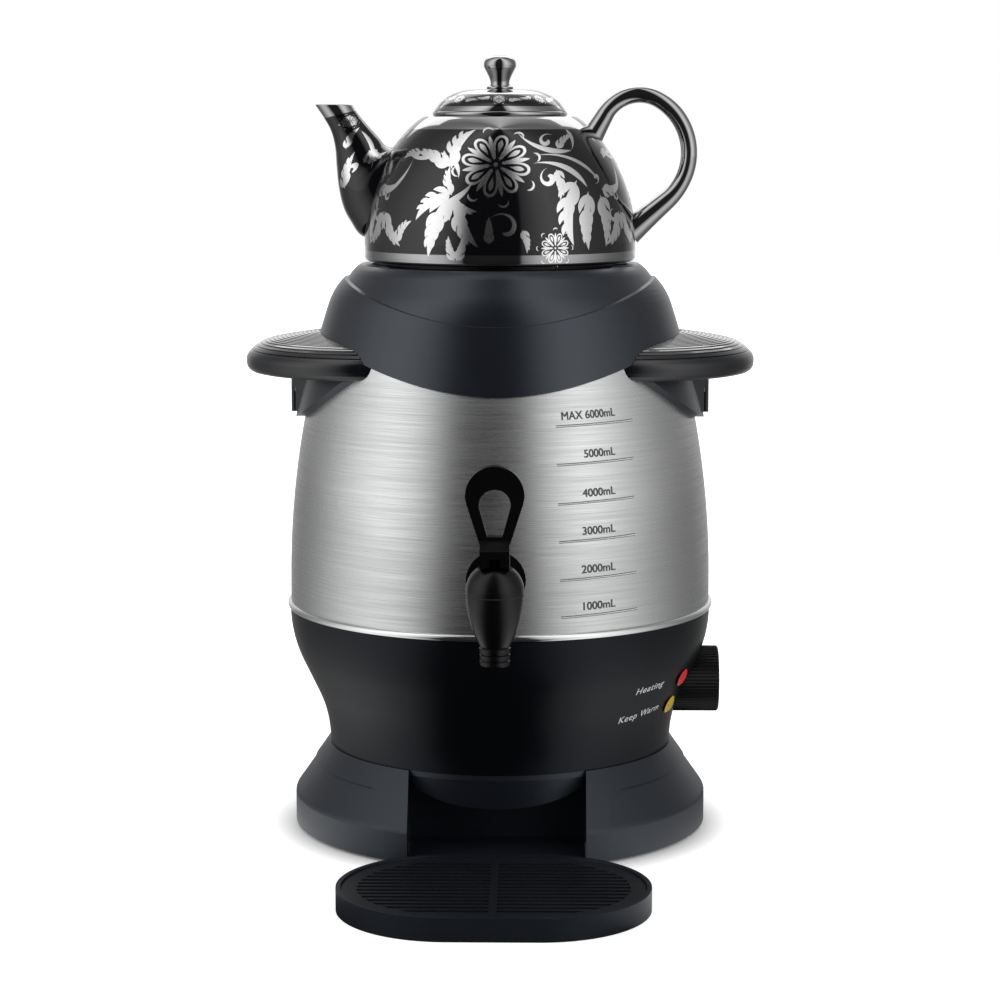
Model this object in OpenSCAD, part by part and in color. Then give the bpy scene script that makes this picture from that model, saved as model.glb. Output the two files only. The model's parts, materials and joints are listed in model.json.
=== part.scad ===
// Electric samovar: a steel boiler urn on a moulded foot, with a tap, a drip tray and a teapot on top.
// The urn's axis is Z, the table is z = 0, the tap points to -Y and the control knob to +X.

/* [Foot] */
// Radius of the foot at the table
foot_r = 118.5; // [112:0.5:124]
// Height of the upright band round the foot
foot_band_h = 19; // [14:0.5:24]
// Height of the foot from the table to the seam of the housing
foot_h = 47.5; // [42:0.5:54]
// Wall of the foot moulding
foot_wall = 3; // [2:0.25:4]
// Gap between the foot's lower edge and the table
ground_gap = 1.5; // [1:0.25:2.5]
// Width of the docking bay in the front of the foot
bay_w = 97; // [88:1:102]
// Distance from the urn's axis to the back of the docking bay
bay_back = 66; // [60:1:72]
// Dip of the apron across the top of the bay
apron_dip = 16; // [13:0.5:18]
// Depth of the step round the side panels of the foot
panel_step = 0.7; // [0.4:0.1:1.2]

/* [Housing] */
// Radius of the housing at its lower seam
seam_r = 97.6; // [93:0.2:99]
// Height of the housing from the seam to the bead
housing_h = 78; // [70:0.5:88]
// Steepest lean of the housing wall in degrees
flare_angle = 25.5; // [22:0.5:34]
// Wall of the housing moulding
housing_wall = 3; // [2.5:0.25:3.5]

/* [Boiler] */
// Outer radius of the steel boiler
tank_r = 119.4; // [117:0.2:122]
// Radius of the boiler at its rim, under the collar
tank_rim_r = 97; // [94:0.25:99]
// Height of the steel wall from the bead to the rim
tank_h = 158.5; // [150:0.5:170]
// Thickness of the steel wall
tank_wall = 0.8; // [0.6:0.1:1.2]
// Height of the polished bead under the steel wall
bead_h = 4; // [3:0.25:5]
// How far the bead stands proud of the wall
bead_proud = 1.8; // [1:0.2:2.4]
// Depth of the floor pan below the bead
pan_depth = 10.6; // [8:0.2:12]

/* [Collar] */
// Thickness of the collar over the steel
collar_wall = 2.3; // [1.8:0.1:2.8]
// Height of the collar above the boiler's rim
collar_rise = 31.5; // [28:0.5:36]
// How far the collar's lower edge hangs below the rim at the sides
collar_drop = 6; // [5:0.25:9]
// Dip of the collar's lower edge from the sides to the front
edge_dip = 27; // [20:0.5:30]
// Dip of the stepped band's upper edge from the sides to the front
band_dip = 21.7; // [16:0.1:24]
// Radius of the filling mouth
mouth_r = 66; // [60:0.5:67]

/* [Carrying handles] */
// How far the centre of each round handle plate lies inside the boiler's wall
grip_set = 53.4; // [51:0.2:56]
// Radius of the handle plate
grip_r = 77.4; // [75:0.2:80]
// Thickness of the plate at its edge
grip_t = 10; // [8:0.25:12]
// Pitch of the ribs on the handle's top
rib_pitch = 2.4; // [2:0.1:4]
// Height of the bracket under the plate
bracket_h = 26; // [24:0.5:28]

/* [Tap] */
// Distance from the urn's axis to the tap's spindle
tap_reach = 152; // [146:0.5:158]
// Height of the tap's barrel above the housing
tap_rise = 34.4; // [30:0.2:42]
// Largest radius of the egg-shaped tap body
egg_r = 15.2; // [14.4:0.1:17]
// Length of the lower part of the egg
egg_h = 27.3; // [25:0.3:31]
// Height of the bonnet on the egg
bonnet_h = 14; // [13:0.25:16]
// Outer radius of the outlet ring
outlet_r = 8.2; // [7.8:0.1:9]
// Radius of the outlet bore
outlet_bore_r = 5; // [4.2:0.1:5.4]
// Height of the outlet ring
outlet_h = 9.8; // [8:0.2:12]
// Radius of the spindle
spindle_r = 2.5; // [2.2:0.1:2.8]
// Height of the lever's pivot above the bonnet
pivot_h = 6; // [5:0.25:8]
// Rise of the spindle for each radian of the lever
cam_rate = 5.5; // [4.5:0.25:6.5]
// Travel of the lever in degrees
lever_travel = 40; // [30:1:42]
// Radius of the lever's ring
ring_r = 15.2; // [14:0.2:17]
// Height of the ring's centre above the pivot
ring_rise = 32; // [29:0.5:36]
// Thickness of the lever's ring
ring_t = 7.5; // [6:0.5:9]

/* [Control] */
// Radius of the control knob
knob_r = 18.8; // [17:0.2:20]
// Height of the knob's axis above the seam
knob_rise = 34.1; // [31:0.3:38]
// Distance from the urn's axis to the knob's face
knob_face = 125.3; // [123:0.3:129]
// Number of ribs round the knob
knob_ribs = 60; // [40:2:72]
// Radius of the knob's shaft
shaft_r = 3; // [2.5:0.1:3.4]
// Radius of the pilot lenses
lens_r = 4.75; // [4:0.25:5]
// Angle of the lenses from the knob, towards the front
lens_angle = 23.6; // [22.5:0.3:27]
// Height between the two lenses
lens_pitch = 16; // [13:0.5:18]

/* [Drip tray] */
// Radius of the tray's round ends
tray_r = 58; // [54:0.5:60]
// Half the straight length between the ends
tray_half = 23; // [20:0.5:28]
// Height of the tray
tray_h = 12; // [10:0.5:14]
// Wall of the tray
tray_wall = 2.5; // [2:0.25:3]
// Gap between the foot and the back of the tray
tray_gap = 7.5; // [4:0.5:12]
// Thickness of the grille
grille_t = 3; // [2.5:0.25:3.5]
// Pitch of the grille's slots
slot_pitch = 6; // [5:0.25:8]
// Width of each slot
slot_w = 3; // [2:0.25:3.5]

/* [Teapot] */
// Largest radius of the teapot
pot_r = 76; // [72:0.5:78]
// Height of the teapot from its foot to the lid's seat
pot_h = 80; // [74:0.5:86]
// Radius of the pot's mouth
pot_mouth_r = 31.5; // [29:0.5:33]
// Height of the upright part of the teapot's side
pot_side_h = 11.4; // [8:0.2:16]
// Wall of the pot
pot_wall = 4; // [3:0.25:4.5]
// Radius of the teapot's lid
pot_lid_r = 37.8; // [36:0.2:39.5]
// Radius of the round section of the teapot's handle
ear_r = 4.6; // [4:0.1:5.2]
// Largest radius of the knob on the lid
finial_r = 9.1; // [8:0.1:10]

/* [Hidden] */

$fn = 96;
fit = 0.3;              // clearance round pieces that lift off
run = 0.05;             // radial clearance of a pin or shaft in its bore
big = 400;              // length of a cutting tool that passes right through
tiny = 0.01;

// ---- levels, from the table upwards ----
housing_top = foot_h + housing_h;
wall_z = housing_top + bead_h;
rim_z = wall_z + tank_h;
edge_z = rim_z - collar_drop;
collar_top = rim_z + collar_rise;
straight_z = wall_z + 10.4;
tank_arc = (pow(rim_z - straight_z, 2) + pow(tank_r - tank_rim_r, 2)) / (2 * (tank_r - tank_rim_r));

// ---- general shapes ----

// Centre of the circle of radius r that touches an outline from inside at p, where the outline leans by a.
function inside(p, a, r) = p - r * [cos(a), sin(a)];

// Number of facets that keeps a circle of radius r smooth.
function smooth(r) = max(96, ceil(r * 1.5));

// A solid of revolution: the polygon through pts, with round bulges added and hollows taken away.
// A bulge is [centre, radius, lowest z, highest z], and a hollow is [centre, radius].
module turned(pts, bulges = [], hollows = [], sides = 180) {
    rotate_extrude($fn = sides) difference() {
        union() {
            polygon(pts);
            for (b = bulges) intersection() {
                translate(b[0]) circle(r = b[1], $fn = smooth(b[1]));
                if (len(b) > 2) translate([0, b[2]]) square([2 * big, b[3] - b[2]]);
                else translate(b[0] - [0, 2 * b[1]]) square([2 * big, 4 * b[1]]);
            }
        }
        for (h = hollows) translate(h[0]) circle(r = h[1], $fn = smooth(h[1]));
    }
}

// A ring turned about Z, with a rectangular section.
module ring(r_in, r_out, z0, z1) {
    rotate_extrude() translate([r_in, z0]) square([r_out - r_in, z1 - z0]);
}

// A rod or bore along X, from x0 to x1, at the given y and z.
module rod_x(x0, x1, y, z, r, n = 48) {
    translate([x0, y, z]) rotate([0, 90, 0]) cylinder(r = r, h = x1 - x0, $fn = n);
}

// A rod or bore that points to the front, from y = -y0 to y = -y1.
module rod_front(y0, y1, x, z, r, n = 48) {
    translate([x, -y0, z]) rotate([90, 0, 0]) cylinder(r = r, h = y1 - y0, $fn = n);
}

// A cylinder along X under a saddle-shaped edge, which has the height z at the sides and
// falls by dip where y reaches span.
module saddle(z, dip, span) {
    r = (span * span + dip * dip) / (2 * dip);
    translate([-big / 2, 0, z - r]) rotate([0, 90, 0]) cylinder(r = r, h = big, $fn = 180);
}

// A stadium outline round the origin, with its straight sides along X.
module stadium(half, r) {
    union() {
        square([2 * half, 2 * r], center = true);
        for (s = [-1, 1]) translate([s * half, 0]) circle(r = r);
    }
}

// A closed tube through a list of rings, each a list of points in space.
module loft(rings) {
    n = len(rings[0]);
    m = len(rings);
    polyhedron(
        points = [for (ring_points = rings) each ring_points],
        faces = concat(
            [[for (i = [0:n - 1]) i]],
            [for (j = [0:m - 2], i = [0:n - 1]) [j * n + i, (j + 1) * n + i, (j + 1) * n + (i + 1) % n]],
            [for (j = [0:m - 2], i = [0:n - 1]) [j * n + i, (j + 1) * n + (i + 1) % n, j * n + (i + 1) % n]],
            [[for (i = [n - 1:-1:0]) (m - 1) * n + i]]));
}

// ---- foot ----

apron_slope = 3.5;
panel_z = 36.5;
pylon_half = 61;
pylon_corner = 9;
ledge_r = 80;
screw_ring = 86;
foot_pad_ring = 99;
foot_pad_r = 9;
rubber_r = 8;
base_plate_t = 2.5;

// The foot's outer form as a solid of revolution, shrunk by inset, from z0 to z1.
module foot_form(inset, z0, z1) {
    top_r = seam_r + 0.9;
    lean = atan2(foot_r - top_r, foot_h - foot_band_h);
    round_r = 5;
    shift = inset / cos(lean);
    corner_z = foot_h - (foot_r - inset - top_r + shift) / tan(lean);
    centre = [foot_r - inset - round_r, corner_z - round_r * tan(lean / 2)];
    turned([[0, z0], [foot_r - inset, z0], [foot_r - inset, centre[1]],
            centre + round_r * [cos(lean), sin(lean)],
            [top_r - shift + (foot_h - z1) * tan(lean), z1], [0, z1]],
        [[centre, round_r, centre[1], corner_z + round_r]]);
}

// The docking bay's outline from above, grown by g.
module bay_plan(g, front) {
    translate([-bay_w / 2 - g, -front]) square([bay_w + 2 * g, front - bay_back + g]);
}

module foot_panels() {
    // side panels, a step lower than the front pylons and the upper slope
    difference() {
        foot_form(-1, -1, panel_z);
        foot_form(panel_step, -2, panel_z + 1);
        translate([0, tiny, 0]) rotate([90, 0, 0]) linear_extrude(big) difference() {
            translate([-pylon_half - pylon_corner, -3]) square([2 * (pylon_half + pylon_corner), big]);
            for (s = [-1, 1]) translate([s * (pylon_half + pylon_corner), 0]) {
                translate([0, panel_z - pylon_corner]) circle(r = pylon_corner);
                translate([-pylon_corner, -big]) square([2 * pylon_corner, big + panel_z - pylon_corner]);
            }
        }
    }
}

module apron() {
    // curved apron across the top of the bay; its lower edge is half an ellipse
    edge = foot_h - foot_wall - 0.5;
    low = edge - apron_dip;
    half = bay_w / 2 + tiny;
    difference() {
        intersection() {
            rotate_extrude() polygon([
                [seam_r - 0.1 - foot_wall, foot_h], [seam_r - 0.1, foot_h],
                [seam_r - 0.1 - apron_slope, low - 1], [seam_r - 0.1 - apron_slope - foot_wall, low - 1]]);
            rotate([90, 0, 0]) linear_extrude(big) polygon([
                [-half, foot_h], for (a = [0:6:180]) [-half * cos(a), edge - apron_dip * sin(a)], [half, foot_h]]);
        }
        translate([0, 0, foot_h - foot_wall]) cylinder(r = ledge_r, h = big);
    }
}

module base_skirt() color("#23262d") {
    ledge_z = foot_h - foot_wall;
    difference() {
        union() {
            difference() {
                foot_form(0, ground_gap, foot_h);
                foot_panels();
                foot_form(foot_wall, -1, ledge_z);
                cylinder(r = ledge_r, h = big);
            }
            // walls of the bay
            intersection() {
                foot_form(0.5, ground_gap, ledge_z + tiny);
                linear_extrude(big) bay_plan(foot_wall, big);
            }
            // pads that carry the rubber feet
            intersection() {
                foot_form(1, ground_gap + 1, ledge_z + tiny);
                for (a = [38, 142, 218, 322]) rotate(a) translate([foot_pad_ring, 0, 0]) cylinder(r = foot_pad_r, h = big);
            }
        }
        // the bay itself, below the ledge, and outside the apron above it
        linear_extrude(ledge_z) bay_plan(0, big);
        difference() {
            translate([0, 0, 1]) linear_extrude(big) bay_plan(0, big);
            cylinder(r = seam_r - 0.1, h = big, $fn = 180);
        }
        // sockets of the rubber feet
        for (a = [38, 142, 218, 322]) rotate(a) translate([foot_pad_ring, 0, -1]) {
            cylinder(r = rubber_r + 0.1, h = ground_gap + 2.5, $fn = 48);
            cylinder(r = 3, h = ground_gap + 9, $fn = 32);
        }
        // screw holes in the ledge
        for (a = [45:90:315]) rotate(a) translate([screw_ring, 0, 0]) cylinder(r = 2.2, h = big, $fn = 32);
    }
    apron();
}

module rubber_feet() color("#1a1a1a") {
    for (a = [38, 142, 218, 322]) rotate(a) translate([foot_pad_ring, 0, 0]) {
        cylinder(r = rubber_r, h = ground_gap + 1.4, $fn = 48);
        cylinder(r = 2.9, h = ground_gap + 7.5, $fn = 32);
    }
}

module base_plate() color("#2b2d31") {
    difference() {
        translate([0, 0, foot_h]) cylinder(r = seam_r - housing_wall - fit, h = base_plate_t);
        for (a = [45:90:315]) rotate(a) translate([screw_ring, 0, 0]) cylinder(r = 2.2, h = big, $fn = 32);
        // cooling slots
        for (i = [-3:3]) translate([i * 8 - 1.5, -30, 0]) cube([3, 34, big]);
    }
}

module base_screws() color("silver") {
    for (a = [45:90:315]) rotate(a) translate([screw_ring, 0, 0]) {
        translate([0, 0, foot_h - foot_wall - 2.6]) cylinder(r = 4, h = 2.6, $fn = 32);
        translate([0, 0, foot_h - foot_wall - 0.5]) cylinder(r = 2, h = foot_wall + 10, $fn = 32);
    }
}

// ---- housing ----

housing_top_r = tank_r + 0.4;
flare_r = (housing_h * tan(flare_angle) - (housing_top_r - seam_r))
    / (2 * (sin(flare_angle) * tan(flare_angle) - 1 + cos(flare_angle)));
knob_z = foot_h + knob_rise;
cup_floor = seam_r - 0.6;
cup_wall = 2.6;

// The housing's S-shaped outline: a hollow curve, a leaning stretch and a full curve.
module housing_form(inset, z0, z1) {
    hollow = [seam_r + flare_r, foot_h];
    full = [housing_top_r - flare_r, housing_top];
    lean = [cos(flare_angle), sin(flare_angle)];
    turned([[0, z0], [seam_r - inset, z0], [seam_r - inset, foot_h],
            [hollow[0] - (flare_r + inset) * lean[0], foot_h + (flare_r + inset) * lean[1]],
            [full[0] + (flare_r - inset) * lean[0], housing_top - (flare_r - inset) * lean[1]],
            [housing_top_r - inset, housing_top], [housing_top_r - inset, z1], [0, z1]],
        [[full, flare_r - inset, foot_h, housing_top]],
        [[hollow, flare_r + inset]]);
}

// Radius of the housing's outer face at height z.
function housing_r(z) =
    z < foot_h + flare_r * sin(flare_angle) ? seam_r + flare_r - sqrt(pow(flare_r, 2) - pow(max(0, z - foot_h), 2))
    : z > housing_top - flare_r * sin(flare_angle) ? housing_top_r - flare_r + sqrt(pow(flare_r, 2) - pow(housing_top - z, 2))
    : seam_r + flare_r * (1 - cos(flare_angle)) + (z - foot_h - flare_r * sin(flare_angle)) * tan(flare_angle);

red_z = knob_z + 2.1 + lens_pitch / 2;
amber_z = red_z - lens_pitch;

// Places a child on the housing's face at a lens, with its own Z pointing outwards.
module at_lens(z) {
    rotate([0, 0, -lens_angle]) translate([housing_r(z), 0, z]) rotate([0, 90 + flare_angle * 0.9, 0]) children();
}

module lower_housing() color("#1e2025") {
    boss_z = foot_h + base_plate_t;
    difference() {
        union() {
            difference() {
                housing_form(0, foot_h, housing_top);
                housing_form(housing_wall, foot_h - tiny, housing_top + tiny);
            }
            intersection() {
                housing_form(1, foot_h, housing_top);
                union() {
                    // bosses for the foot's screws
                    for (a = [45:90:315]) rotate(a) {
                        translate([screw_ring, 0, boss_z]) cylinder(r = 5, h = 13, $fn = 48);
                        translate([screw_ring, -1.5, boss_z]) cube([20, 3, 13]);
                    }
                    // flat pad for the cord's gland
                    translate([0, big, gland_z]) rotate([90, 0, 0]) cylinder(r = gland_r + 5, h = big - seam_r + 9, $fn = 64);
                    // cup behind the knob
                    rod_x(cup_floor - cup_wall, big, 0, knob_z, knob_r + 0.6 + cup_wall, 96);
                }
            }
        }
        rod_x(cup_floor, big, 0, knob_z, knob_r + 0.6, 96);
        rod_x(cup_floor - 20, big, 0, knob_z, 5.1);
        for (z = [red_z, amber_z]) at_lens(z) {
            translate([0, 0, -20]) cylinder(r = lens_r - 0.7, h = 40, $fn = 48);
            translate([0, 0, -0.2]) cylinder(r = lens_r, h = 10, $fn = 48);
        }
        for (a = [45:90:315]) rotate(a) translate([screw_ring, 0, 0]) cylinder(r = 2.05, h = boss_z + 11, $fn = 32);
        // flat seat and hole of the cord's gland at the back
        translate([0, big, gland_z]) rotate([90, 0, 0]) {
            cylinder(r = gland_r + 3, h = big - gland_face, $fn = 64);
            cylinder(r = gland_r + 0.1, h = big - 60, $fn = 48);
        }
    }
}

// ---- electrics in the housing ----

gland_z = foot_h + 15;
gland_r = 6.4;
gland_bore_r = 4;
gland_face = seam_r - 1.5;

module cord_gland() color("#141414") {
    face = gland_face;
    inside = seam_r - housing_wall - 3;
    difference() {
        union() {
            translate([0, face + 2.5, gland_z]) rotate([90, 0, 0]) cylinder(r = gland_r, h = face + 2.5 - inside, $fn = 48);
            translate([0, face + 2.5, gland_z]) rotate([90, 0, 0]) cylinder(r = gland_r + 2.6, h = 2.5, $fn = 48);
        }
        translate([0, face + 10, gland_z]) rotate([90, 0, 0]) cylinder(r = gland_bore_r, h = 40, $fn = 48);
    }
}

block_y = 52;
block_size = [34, 15, 13];

module terminal_block() color("#e8e4da") {
    z0 = foot_h + base_plate_t;
    difference() {
        translate([-block_size[0] / 2, block_y - block_size[1] / 2, z0]) cube(block_size);
        for (i = [-1:1]) translate([i * 11, block_y, z0 + 5]) {
            cylinder(r = 2.4, h = 20, $fn = 32);
            translate([0, -20, -1]) rotate([-90, 0, 0]) cylinder(r = 1.8, h = 40, $fn = 32);
        }
    }
}

wire_r = 1.1;
wire_sides = 8;

// Rings of a wire through the points of a route, each ring square to the route.
function wire_rings(p) = [for (i = [0:len(p) - 1])
    let (d = p[min(i + 1, len(p) - 1)] - p[max(i - 1, 0)],
         t = d / norm(d),
         side = abs(t[2]) > 0.9 ? [1, 0, 0] : [0, 0, 1],
         u = cross(t, side) / norm(cross(t, side)),
         v = cross(t, u))
    [for (k = [0:wire_sides - 1]) p[i] + wire_r * (cos(360 * k / wire_sides) * u + sin(360 * k / wire_sides) * v)]];

// A smooth wire from a to b, leaving a in the direction da and reaching b in the direction db.
function wire_route(a, da, b, db, n = 12) = [for (i = [0:n]) let (t = i / n, s = 1 - t)
    s * s * s * a + 3 * s * s * t * (a + da) + 3 * s * t * t * (b - db) + t * t * t * b];

module wire_harness() color("#b8452f") {
    z = foot_h + base_plate_t + 4;
    front = block_y - block_size[1] / 2 - 0.1;
    loft(wire_rings(wire_route([-11, front, z], [0, -26, 0], element_end(-1) + [0, 0, -terminal_h - 0.1], [0, 0, 26])));
    loft(wire_rings(wire_route([0, front, z], [0, -30, 0], [-6, 0, tab_low - 0.1], [0, 0, 24])));
    loft(wire_rings(wire_route([11, front, z], [0, -30, 0], [thermo_back - 0.1, 8, knob_z - 8], [24, 0, 0])));
}

// ---- boiler ----

floor_z = housing_top - pan_depth;
flange_z = housing_top;
pan_wall = 1;
pan_r = housing_r(floor_z - pan_wall) - housing_wall - 0.6;
lip_h = bead_h + 3.5;
plate_r = 84;
plate_t = 4;
element_ring = 68;
cutout_z = floor_z - plate_t;
terminal_h = 9;
cutout_h = 4.5;
tab_h = 8;
tab_low = cutout_z - pan_wall - cutout_h - tab_h;
tap_z = housing_top + tap_rise;
thread_r = 8;

// Radius of the steel wall at height z, measured inset deep below its outer face.
function wall_r(z, inset = 0) =
    tank_r - tank_arc + sqrt(pow(tank_arc - inset, 2) - pow(max(0, z - straight_z), 2));

// The boiler's form as a solid of revolution, shrunk by inset: upright at the bottom, then one long arc.
module tank_form(inset, z0, z1) {
    turned([[0, z0], [tank_r - inset, z0], [tank_r - inset, straight_z], [wall_r(z1, inset), z1], [0, z1]],
        [[[tank_r - tank_arc, straight_z], tank_arc - inset, straight_z, z1]], sides = 360);
}

module bead_ring() color("#d8d8d8") {
    in_r = tank_r - tank_wall;
    round_r = bead_h / 2;
    mid = [tank_r + bead_proud - round_r, housing_top + round_r];
    rotate_extrude($fn = 360) polygon([
        [in_r, housing_top],
        for (a = [-90:15:90]) mid + round_r * [cos(a), sin(a)],
        [in_r, wall_z]]);
}

module steel_body() color("#b9bcbd") {
    rim_lip = 9;
    difference() {
        tank_form(0, wall_z, rim_z);
        tank_form(tank_wall, wall_z - 1, rim_z - tank_wall);
        cylinder(r = tank_rim_r - rim_lip, h = big);
        rod_front(tank_r / 2, big, 0, tap_z, thread_r + 0.2);
        for (s = [0, 1], z = bolt_levels) mirror([s, 0, 0]) rod_x(tank_r / 2, big, 0, z, 2.6, 32);
    }
}

module tank_floor() color("#c4c6c7") {
    lip_r = tank_r - tank_wall;
    corner = 4;
    mid = [pan_r - corner, floor_z - pan_wall + corner];
    difference() {
        turned([[0, floor_z - pan_wall], [mid[0], floor_z - pan_wall], [pan_r, mid[1]],
                [pan_r, flange_z], [lip_r, flange_z], [lip_r, flange_z + lip_h], [0, flange_z + lip_h]],
            [[mid, corner, floor_z - pan_wall, mid[1]]]);
        turned([[0, floor_z], [mid[0], floor_z], [pan_r - pan_wall, mid[1]],
                [pan_r - pan_wall, flange_z + pan_wall], [lip_r - pan_wall, flange_z + pan_wall],
                [lip_r - pan_wall, flange_z + lip_h + 1], [0, flange_z + lip_h + 1]],
            [[mid, corner - pan_wall, floor_z, mid[1]]]);
    }
}

module heat_plate() color("#a8abad") {
    translate([0, 0, floor_z - pan_wall - plate_t]) cylinder(r = plate_r, h = plate_t);
}

// Lower end of the heating element on one side of its gap.
function element_end(s) = [element_ring * cos(270 + s * 14), element_ring * sin(270 + s * 14), cutout_z - pan_wall - 6];

module heating_element() color("#5a5d60") {
    rotate([0, 0, 284]) rotate_extrude(angle = 332, $fn = 120)
        translate([element_ring, cutout_z - pan_wall]) polygon([[-3, 0], [3, 0], [3, -4.5], [1.5, -6], [-1.5, -6], [-3, -4.5]]);
    for (s = [-1, 1]) translate(element_end(s) + [0, 0, -terminal_h]) cylinder(r = 1.9, h = terminal_h + 1, $fn = 32);
}

module thermal_cutout() color("#c8b27a") {
    difference() {
        union() {
            translate([0, 0, cutout_z - pan_wall - cutout_h]) cylinder(r = 10, h = cutout_h, $fn = 64);
            for (s = [-1, 1]) translate([s * 6 - 3, -0.4, tab_low]) cube([6, 0.8, tab_h + 1]);
        }
        for (s = [-1, 1]) translate([s * 6, -5, tab_low + 2.5]) rotate([-90, 0, 0]) cylinder(r = 0.9, h = 10, $fn = 24);
    }
}

// ---- control ----

thermo_face = cup_floor - cup_wall;
thermo_size = [15, 32, 30];
thermo_back = thermo_face - thermo_size[0];
bush_out = 3.2;
knob_back = cup_floor + 0.8;
hub_r = 6.5;
shaft_end = knob_face - 7;

module thermostat() color("#d9d4c6") {
    difference() {
        union() {
            translate([thermo_back, -thermo_size[1] / 2, knob_z - thermo_size[2] / 2]) cube(thermo_size);
            rod_x(thermo_face - 1, cup_floor + bush_out, 0, knob_z, 5);
        }
        rod_x(thermo_back + 2, big, 0, knob_z, shaft_r + run);
    }
}

module thermostat_nut() color("#b9a15a") {
    difference() {
        translate([cup_floor, 0, knob_z]) rotate([0, 90, 0]) cylinder(r = 8, h = 2.4, $fn = 6);
        rod_x(cup_floor - 1, big, 0, knob_z, 5);
    }
}

module knob_shaft() color("#9a9da0") {
    flat = 0.9;
    difference() {
        rod_x(thermo_back + 2.5, shaft_end, 0, knob_z, shaft_r);
        translate([cup_floor + bush_out + 0.3, shaft_r - flat, knob_z - 10]) cube([big, 10, 20]);
    }
}

module control_knob() color("#101114") {
    flat = 0.9;
    rib = 0.5;
    edge = 1.4;
    knob_depth = knob_face - knob_back;
    difference() {
        intersection() {
            translate([knob_back, 0, knob_z]) rotate([90, 0, 90]) linear_extrude(knob_depth)
                polygon([for (i = [0:2 * knob_ribs - 1]) (knob_r - (i % 2) * rib) * [cos(180 * i / knob_ribs), sin(180 * i / knob_ribs)]]);
            translate([knob_back, 0, knob_z]) rotate([0, 90, 0]) rotate_extrude() polygon([
                [0, 0], [knob_r + 1, 0], [knob_r + 1, knob_depth - edge - 1],
                for (a = [0:22.5:90]) [knob_r - edge + edge * cos(a), knob_depth - edge + edge * sin(a)],
                [0, knob_depth]]);
        }
        // hollow behind the face, round the hub
        difference() {
            rod_x(knob_back - 1, knob_face - 3, 0, knob_z, knob_r - 3, 64);
            rod_x(cup_floor + bush_out + 0.6, big, 0, knob_z, hub_r);
        }
        // D-shaped socket for the shaft
        difference() {
            rod_x(knob_back - 1, shaft_end + 0.2, 0, knob_z, shaft_r);
            translate([0, shaft_r - flat, knob_z - 10]) cube([big, 10, 20]);
        }
        // pointer groove across the face
        translate([knob_face - 0.6, -0.8, knob_z + 5]) cube([2, 1.6, knob_r]);
    }
}

lens_seat = 5;
window_r = lens_r - 1.3;
holder_r = lens_r - 0.7;

module lens(z) {
    proud = 1.1;
    at_lens(z) rotate_extrude($fn = 48) polygon(concat(
        [[0, -lens_seat], [window_r, -lens_seat]],
        [for (i = [0:5]) [window_r * cos(18 * i), 0.9 + proud * sin(18 * i)]]));
}

module red_lens() color("#c01020") lens(red_z);

module amber_lens() color("#d8a010") lens(amber_z);

module lamp_holders() color("#30333a") {
    depth = 16;
    for (z = [red_z, amber_z]) at_lens(z) rotate_extrude($fn = 48) polygon([
        [0, -depth], [holder_r, -depth], [holder_r, -0.2], [lens_r, -0.2], [lens_r, 0.6],
        [lens_r - 0.3, 0.9], [window_r, 0.9], [window_r, -lens_seat], [0, -lens_seat]]);
}

// ---- collar, filling lid and seals ----

collar_gap = 0.3;
collar_out = collar_wall + collar_gap;
band_z = rim_z + 24.5;
curl_z = rim_z + 9.9;
curl_r = 36;
shoulder_z = rim_z + 2.6;
shoulder_inset = 0.5;
shoulder_r = 50.7;
shoulder_lean = 37.3;
shoulder_run = 11.4;
crest_r = 18.4;
deck_t = 3.2;
throat_wall = 3;
lid_recess_r = mouth_r + 6;

// Lean of the collar at height z, where it follows the steel.
function collar_lean(z) = asin((z - straight_z) / (tank_arc + collar_out));

// Outline of the stepped band: it follows the steel, then curls in.
module band_form(g, z0, z1) {
    steps = 6;
    curl_lean = collar_lean(curl_z);
    curl = inside([wall_r(curl_z, -collar_out), curl_z], curl_lean, curl_r);
    curl_end = asin((z1 - curl[1]) / (curl_r + g));
    rotate_extrude($fn = 360) polygon([
        [0, z0],
        for (k = [0:steps]) let (z = z0 + k / steps * (curl_z - z0)) [wall_r(z, -collar_out - g), z],
        for (k = [1:steps]) let (a = curl_lean + k / steps * (curl_end - curl_lean)) curl + (curl_r + g) * [cos(a), sin(a)],
        [0, z1]]);
}

shoulder_start = [wall_r(shoulder_z, shoulder_inset - collar_out), shoulder_z];
shoulder = inside(shoulder_start, collar_lean(shoulder_z), shoulder_r);
shoulder_end = shoulder + shoulder_r * [cos(shoulder_lean), sin(shoulder_lean)];
crest_start = shoulder_end + shoulder_run * [-sin(shoulder_lean), cos(shoulder_lean)];
crest = inside(crest_start, shoulder_lean, crest_r);
crest_end = [crest[0] + sqrt(pow(crest_r, 2) - pow(collar_top - crest[1], 2)), collar_top];

// Outline above the band: a round shoulder, a straight slope and a crest that turns over to the deck.
module upper_form(g, z0) {
    lean = g * [cos(shoulder_lean), sin(shoulder_lean)];
    turned([[0, z0], [wall_r(z0, shoulder_inset - collar_out - g), z0], shoulder_start, shoulder_end + lean,
            crest_start + lean, crest_end, crest_end + [0, g], [0, collar_top + g]],
        [[[tank_r - tank_arc, straight_z], tank_arc + collar_out - shoulder_inset + g, z0, shoulder_z],
         [shoulder, shoulder_r + g, shoulder_z, shoulder_end[1]],
         [crest, crest_r + g, crest_start[1], collar_top + g]]);
}

// The collar's outer form, grown by g, cut to its saddle-shaped lower edge.
module collar_blank(g) {
    low = edge_z - edge_dip - 3;
    difference() {
        union() {
            intersection() {
                band_form(g, low, band_z + 2);
                saddle(band_z + g, band_dip, wall_r(band_z - band_dip, -collar_out));
            }
            upper_form(g, low);
        }
        saddle(edge_z - g, edge_dip, wall_r(edge_z - edge_dip, -collar_out));
    }
}

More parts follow.
